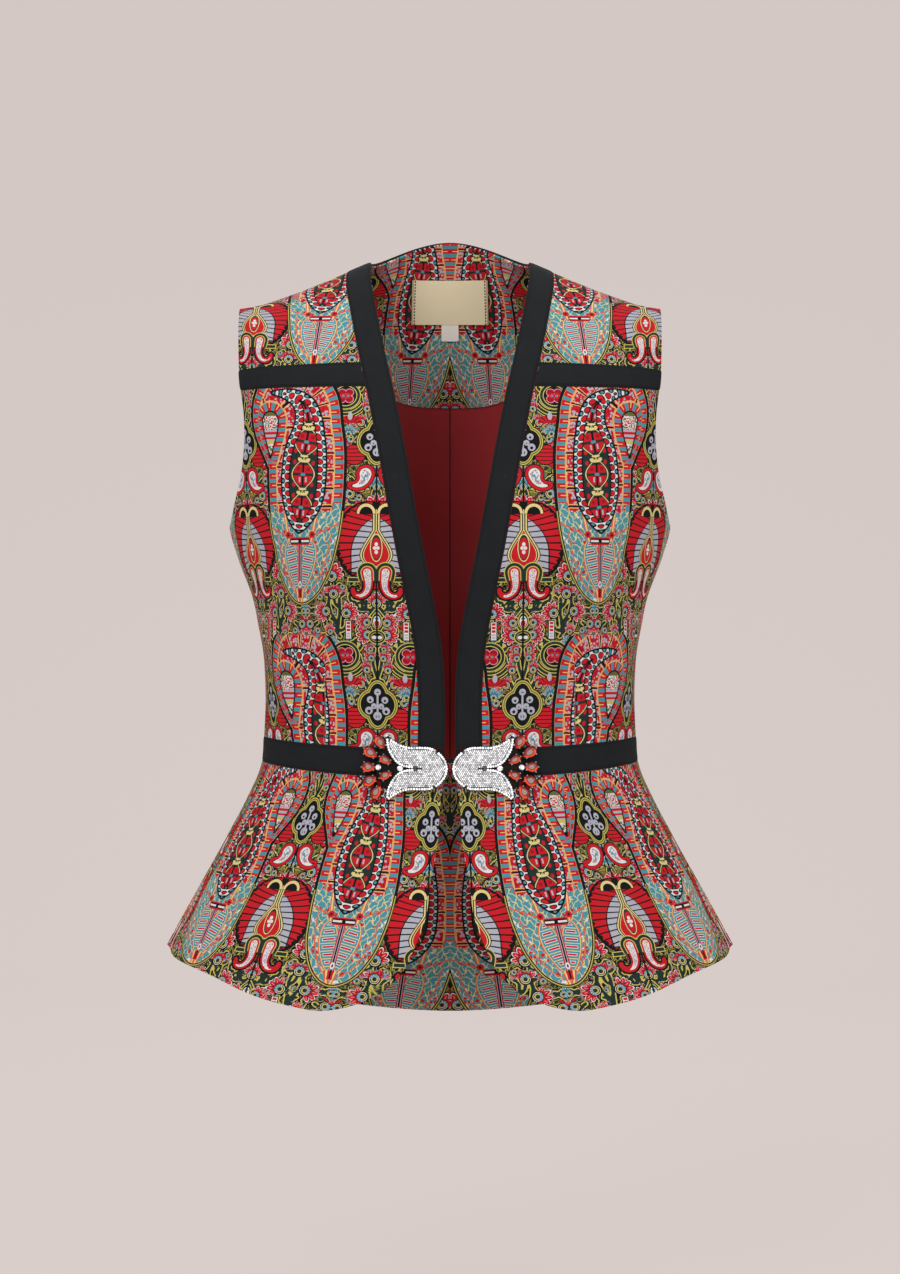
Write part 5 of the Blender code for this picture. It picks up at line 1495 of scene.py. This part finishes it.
def makeAmber():
    # glassy red brown with light and shade painted on: painted shade that deepens to the rim and lies on
    # one side, a painted orange highlight on the lower side, a painted pale reflection on the crown in a
    # darker ring, and a painted glow
    paint = Paint("amber", Roughness=0.3, Coat_Weight=0.15, Coat_Roughness=0.08, Emission_Strength=1.0,
                  Specular_IOR_Level=0.3)
    share, across = paint.field("share"), paint.field("across")
    # painted shade darker towards the rim and on one side, and a painted orange highlight on the lower side
    colour = paint.layers(rgb(172, 38, 14), (
        (rgb(136, 26, 8), share),
        (rgb(228, 78, 34), (across < -0.1) & within(share, 0.60, 0.92)),
        (rgb(96, 20, 8), (across > 0.30) & (share > 0.72)),
        (rgb(70, 16, 10), share > 0.97)))
    # painted reflection: a pale patch on the crown inside a darker ring
    crown = share < 0.54
    colour = paint.over(colour, rgb(84, 26, 18), crown)
    colour = paint.over(colour, rgb(150, 126, 124), crown & (share < 0.45))
    paint.colour(colour)
    # painted glow, though the stone is no lamp: strongest under the painted highlight, grey under the
    # painted reflection
    glow = paint.over(rgb(34, 4, 1), rgb(112, 30, 8), (across < -0.1) & within(share, 0.60, 0.92))
    glow = paint.over(glow, rgb(50, 42, 42), share < 0.45)
    paint.feed(paint.shader.inputs["Emission Color"], glow)
    return paint.material


def makePlate():
    # a silver plate with its rim rounded over, set all over with small stones, and a slit
    plate, pave, rim = clasp["plate"], clasp["pave"], clasp["rim"]
    outer = smoothRun(clasp["outer"], clasp["steps"][0] + 1)
    petal = np.concatenate([outer, smoothRun(clasp["inner"], clasp["steps"][1] + 1)[1:]])
    outline = np.concatenate([petal, petal[1:-1][::-1] * [1, -1]])
    count, notch, fan = len(outline), sum(clasp["steps"]), clasp["steps"][0] - clasp["steps"][1]
    top = plate["out"] + plate["thick"]
    narrow = shrunk(outline, plate["round"])
    levels = ((outline, plate["out"]), (outline, top - plate["round"]), (narrow, top))
    corners = np.concatenate([onClasp(*ring.T, out + plateRise(*ring.T)) for ring, out in levels])
    upper = [(notch, k, k + 1) for k in range(fan)]
    upper += [(notch - k, fan + k, fan + k + 1, notch - k - 1) for k in range(clasp["steps"][1] - 1)]
    upper += [(clasp["steps"][0] + 1, clasp["steps"][0] - 1, clasp["steps"][0])]
    cells = upper + [tuple(-k % count for k in reversed(cell)) for cell in upper]
    faces = ringFaces(0, count, len(levels))[:-2]
    faces += [tuple(reversed(cell)) for cell in cells]
    faces += [tuple(2 * count + k for k in cell) for cell in cells]
    faces = [tuple(reversed(face)) for face in faces]
    silver = makeMetal("silver", rgb(120, 118, 116), 0.25, rgb(84, 82, 82))
    joinFacets("clasp_plate_metal", "clasp_plate", corners, faces, silver, smooth=True)

    rng = np.random.default_rng(clasp["seed"])
    crystal = makeCrystal()
    pitch = pave["pitch"]
    rows, columns = np.meshgrid(np.arange(-20, 21), np.arange(0, 38), indexing="ij")
    x = columns * pitch + (rows % 2) * pitch / 2 + pave["start"]
    grid = np.stack([x, rows * pitch * pave["rowRise"]], -1).reshape(-1, 2)
    inside, away = insideOf(grid, outline)
    band = rim["inset"] + rim["size"]
    grid = grid[inside & (away > band + 0.25)]
    along = lengthsAlong(np.concatenate([outline, outline[:1]]))
    at = np.arange(0, along[-1], rim["pitch"])
    edge = shrunk(outline, rim["inset"])
    edge = np.concatenate([edge, edge[:1]])
    beads = np.stack([np.interp(at, along, edge[:, k]) for k in (0, 1)], -1)
    slit = (abs(beads[:, 1]) < clasp["slit"]["half"]) & (beads[:, 0] > clasp["slit"]["from"])
    beads = beads[~slit]
    for gx, gz, size in clasp["gaps"]:
        grid = grid[np.hypot(*(grid - [gx, gz]).T) > size + 0.5]
        beads = beads[np.hypot(*(beads - [gx, gz]).T) > size + 0.4]
    for name, centres, size, high in (("clasp_pave", grid, pave["size"], pave["high"]),
                                      ("clasp_rim", beads, rim["size"], rim["high"])):
        low = top - 0.15 + plateRise(*centres.T)
        cut = ((1.0, 0.0), (0.9, 0.5), (0.5, 1.0))
        corners, faces = stones(centres, np.full(len(centres), size), low, high, cut)
        # painted glints: a random brightness for each stone and for each facet, lifted more on the rim's
        # beads
        whole = np.repeat(rng.random(len(centres)), len(faces) // len(centres))
        paintedGlint = np.clip(0.55 * whole + 0.45 * rng.random(len(faces)) + clasp["bright"][name], 0, 1)
        joinFacets(name, "clasp_plate", corners, faces, crystal, {"paintedGlint": ("FACE", paintedGlint)})
    gaps = np.array(clasp["gaps"])
    low = top - 0.1 + plateRise(*gaps[:, :2].T)
    corners, faces = stones(gaps[:, :2], gaps[:, 2], low, 0.25, ((1.0, 0.0), (0.9, 1.0)))
    black = makeMetal("blackened", rgb(22, 20, 20), 0.35, rgb(44, 40, 38))
    joinFacets("clasp_gap", "clasp_plate", corners, faces, black)
    return black, crystal


def teardrop(count):
    # angles round a stone, and its half width there: a sine that is narrowed towards the point
    around = np.linspace(0, 2 * math.pi, count, endpoint=False)
    return around, np.sin(around) * np.sin(around / 2) ** 0.6 * clasp["teardropFull"]


def makeFan(black, crystal):
    # the dark backing, seven cabochons in it with claws, two round white stones, the hook behind
    fan, setting, claw = clasp["fan"], clasp["setting"], clasp["claw"]
    turns = np.radians(np.linspace(*fan["angles"], 40))
    arc = np.stack([fan["x"] + fan["radius"] * np.cos(turns), fan["radius"] * np.sin(turns)], -1)
    outline = np.concatenate([arc, [[fan["x"], fan["narrow"]], [fan["x"], -fan["narrow"]]]])
    count = len(outline)
    corners = np.concatenate([onClasp(*outline.T, fan["out"] + rise) for rise in (0, fan["thick"])])
    dish = 20
    around, plump = teardrop(dish)
    backing, faces = [corners], ringFaces(0, count, 2)
    for number, (x, height, length, width, lean) in enumerate(clasp["teardrops"]):
        c, s = direction(lean)
        far = -setting["half"][0] * length * np.cos(around) - setting["back"]
        aside = -setting["half"][1] * width * plump
        ring = np.stack([x + far * c - aside * s, height + far * s + aside * c], -1)
        backing += [onClasp(*ring.T, fan["out"] + rise) for rise in (0, fan["thick"] + setting["high"])]
        faces += ringFaces(2 * count + number * 2 * dish, dish, 2)
    joinFacets("clasp_backing", "clasp_fan", np.concatenate(backing), faces, black)

    amber, low, high = makeAmber(), clasp["plate"]["out"], clasp["stoneHigh"]
    ring = 28
    turns, plump = teardrop(ring)
    shares = np.array([share for share, _ in clasp["dome"]])
    faces, claws = ringFaces(0, ring, len(shares)), []
    for number, (x, height, length, width, lean) in enumerate(clasp["teardrops"], 1):
        c, s = direction(lean)
        length, width = length * clasp["stoneGrow"][0], width * clasp["stoneGrow"][1]
        far, aside = -0.5 * length * np.cos(turns), -0.5 * width * plump
        flatX, flatZ = far * c - aside * s, far * s + aside * c
        corners = np.concatenate([onClasp(x + flatX * share, height + flatZ * share, low + high * rise)
                                  for share, rise in clasp["dome"]])
        fields = {"share": ("POINT", np.repeat(shares, ring)),
                  "across": ("POINT", np.outer(shares, aside / (0.5 * width)).ravel())}
        joinFacets(f"cabochon_{number}", f"teardrop_{number}", corners, faces, amber, fields,
                   smooth=True)
        for at in clasp["clawsAt"]:
            claws.append((x + flatX[at] * claw["out"], height + flatZ[at] * claw["out"]))
    ballCut = ((0.7, -0.2), (1.0, 0.3), (0.9, 0.7), (0.5, 0.95))
    sizes, lows = (np.full(len(claws), value) for value in (claw["size"], low + claw["low"]))
    corners, faces = stones(claws, sizes, lows, claw["high"], ballCut)
    silver = makeMetal("claws", rgb(214, 214, 218), 0.12, rgb(190, 190, 194))
    joinFacets("clasp_claw", "clasp_fan", corners, faces, silver, smooth=True)
    rng = np.random.default_rng(clasp["seed"] + 1)
    for number, (x, height, width) in enumerate(clasp["whites"], 1):
        cut = ((1.0, 0.0), (1.0, 0.35), (0.82, 0.75), (0.5, 1.0))
        corners, faces = stones([(x, height)], [width / 2], [low], high, cut, count=10)
        # painted glints: a random brightness for each facet of the white stones
        paintedGlint = 0.45 + 0.55 * rng.random(len(faces))
        joinFacets(f"brilliant_{number}", f"white_stone_{number}", corners, faces, crystal,
                   {"paintedGlint": ("FACE", paintedGlint)})
    hook = clasp["hook"]
    heights = clasp["z"] + (hook["z"] + hook["high"] * np.array([-0.5, 0, 0.5])) * mm
    x, z = np.meshgrid(np.linspace(0, hook["half"], 6) * mm, heights)
    points = unfolded(np.stack([x, np.full_like(x, clasp["y"]), z], -1))
    normals = np.broadcast_to(np.array([0.0, -1.0, 0.0]), points.shape)
    uv = (points[..., 0] / mm, points[..., 2] / mm)
    piece = joinWall("hook_bar", points, normals, [black], uv, {}, outer=(hook["out"] + hook["thick"]) * mm,
                     thick=hook["thick"] * mm)
    settle(piece, "clasp_hook")


makeFan(*makePlate())
print("clasp ready")

studio = {
    "distance": 2.3, "height": -0.2925, "lens": 83.3,
    "floor": -0.82, "front": -4.0, "wide": 6.0, "depth": 3.0, "rise": 4.0, "corner": 0.9,
    "pale": rgb(213, 202, 198), "glow": 0.80, "sky": (1.0, 0.985, 0.975, 1.0), "skyStrength": 0.55,
    "lamps": (
        # name, place, size, power
        ("key", (-1.3, -2.4, 1.3), 1.6, 42), ("fill", (1.6, -2.3, 0.5), 1.8, 26),
        ("top", (0.0, 0.3, 2.2), 1.6, 22), ("rear", (0.0, 2.2, 1.4), 1.6, 18)),
    "aim": (0, 0, -0.3),
}


def makeBackdrop():
    # a pale floor that curves up behind through a quarter circle
    corner, depth = studio["corner"], studio["depth"]
    turn = np.linspace(0, quarter, 24)
    y = np.concatenate([[studio["front"]], depth - corner + corner * np.sin(turn), [depth]])
    z = np.concatenate([[0.0], corner * (1 - np.cos(turn)), [studio["rise"]]]) + studio["floor"]
    count = len(y)
    x = np.repeat([-studio["wide"], studio["wide"]], count)
    mesh = bpy.data.meshes.new("backdrop")
    mesh.from_pydata(np.stack([x, np.tile(y, 2), np.tile(z, 2)], -1).tolist(), [],
                     [(k, k + count, k + count + 1, k + 1) for k in range(count - 1)])
    mesh.shade_smooth()
    paint = Paint("backdrop", Roughness=1.0, Specular_IOR_Level=0.0, Emission_Color=studio["pale"],
                  Emission_Strength=studio["glow"])
    paint.colour([0.22 * part for part in studio["pale"][:3]] + [1.0])
    mesh.materials.append(paint.material)
    linked("backdrop", mesh)


def makeStudio():
    # an even sky, soft lamps turned to the garment's middle, and the camera level in front of it
    world = bpy.data.worlds.new("studio")
    world.use_nodes = True
    sky = world.node_tree.nodes["Background"].inputs
    sky[0].default_value, sky[1].default_value = studio["sky"], studio["skyStrength"]
    bpy.context.scene.world = world
    for name, place, size, power in studio["lamps"]:
        lamp = bpy.data.lights.new(name, "AREA")
        lamp.size, lamp.energy = size, power
        holder = linked(name, lamp)
        holder.location = place
        x, y, z = np.array(studio["aim"]) - np.array(place)
        holder.rotation_euler = (math.atan2(math.hypot(x, y), -z), 0, math.atan2(x, -y) + math.pi)

    eye = bpy.data.cameras.new("camera")
    eye.lens, eye.sensor_width, eye.clip_end = studio["lens"], 36, 20
    holder = linked("camera", eye)
    holder.location = (0, -studio["distance"], studio["height"])
    holder.rotation_euler = (quarter, 0, 0)
    bpy.context.scene.camera = holder
    bpy.context.scene.view_settings.view_transform = "Standard"


makeBackdrop()
makeStudio()
print("studio ready")
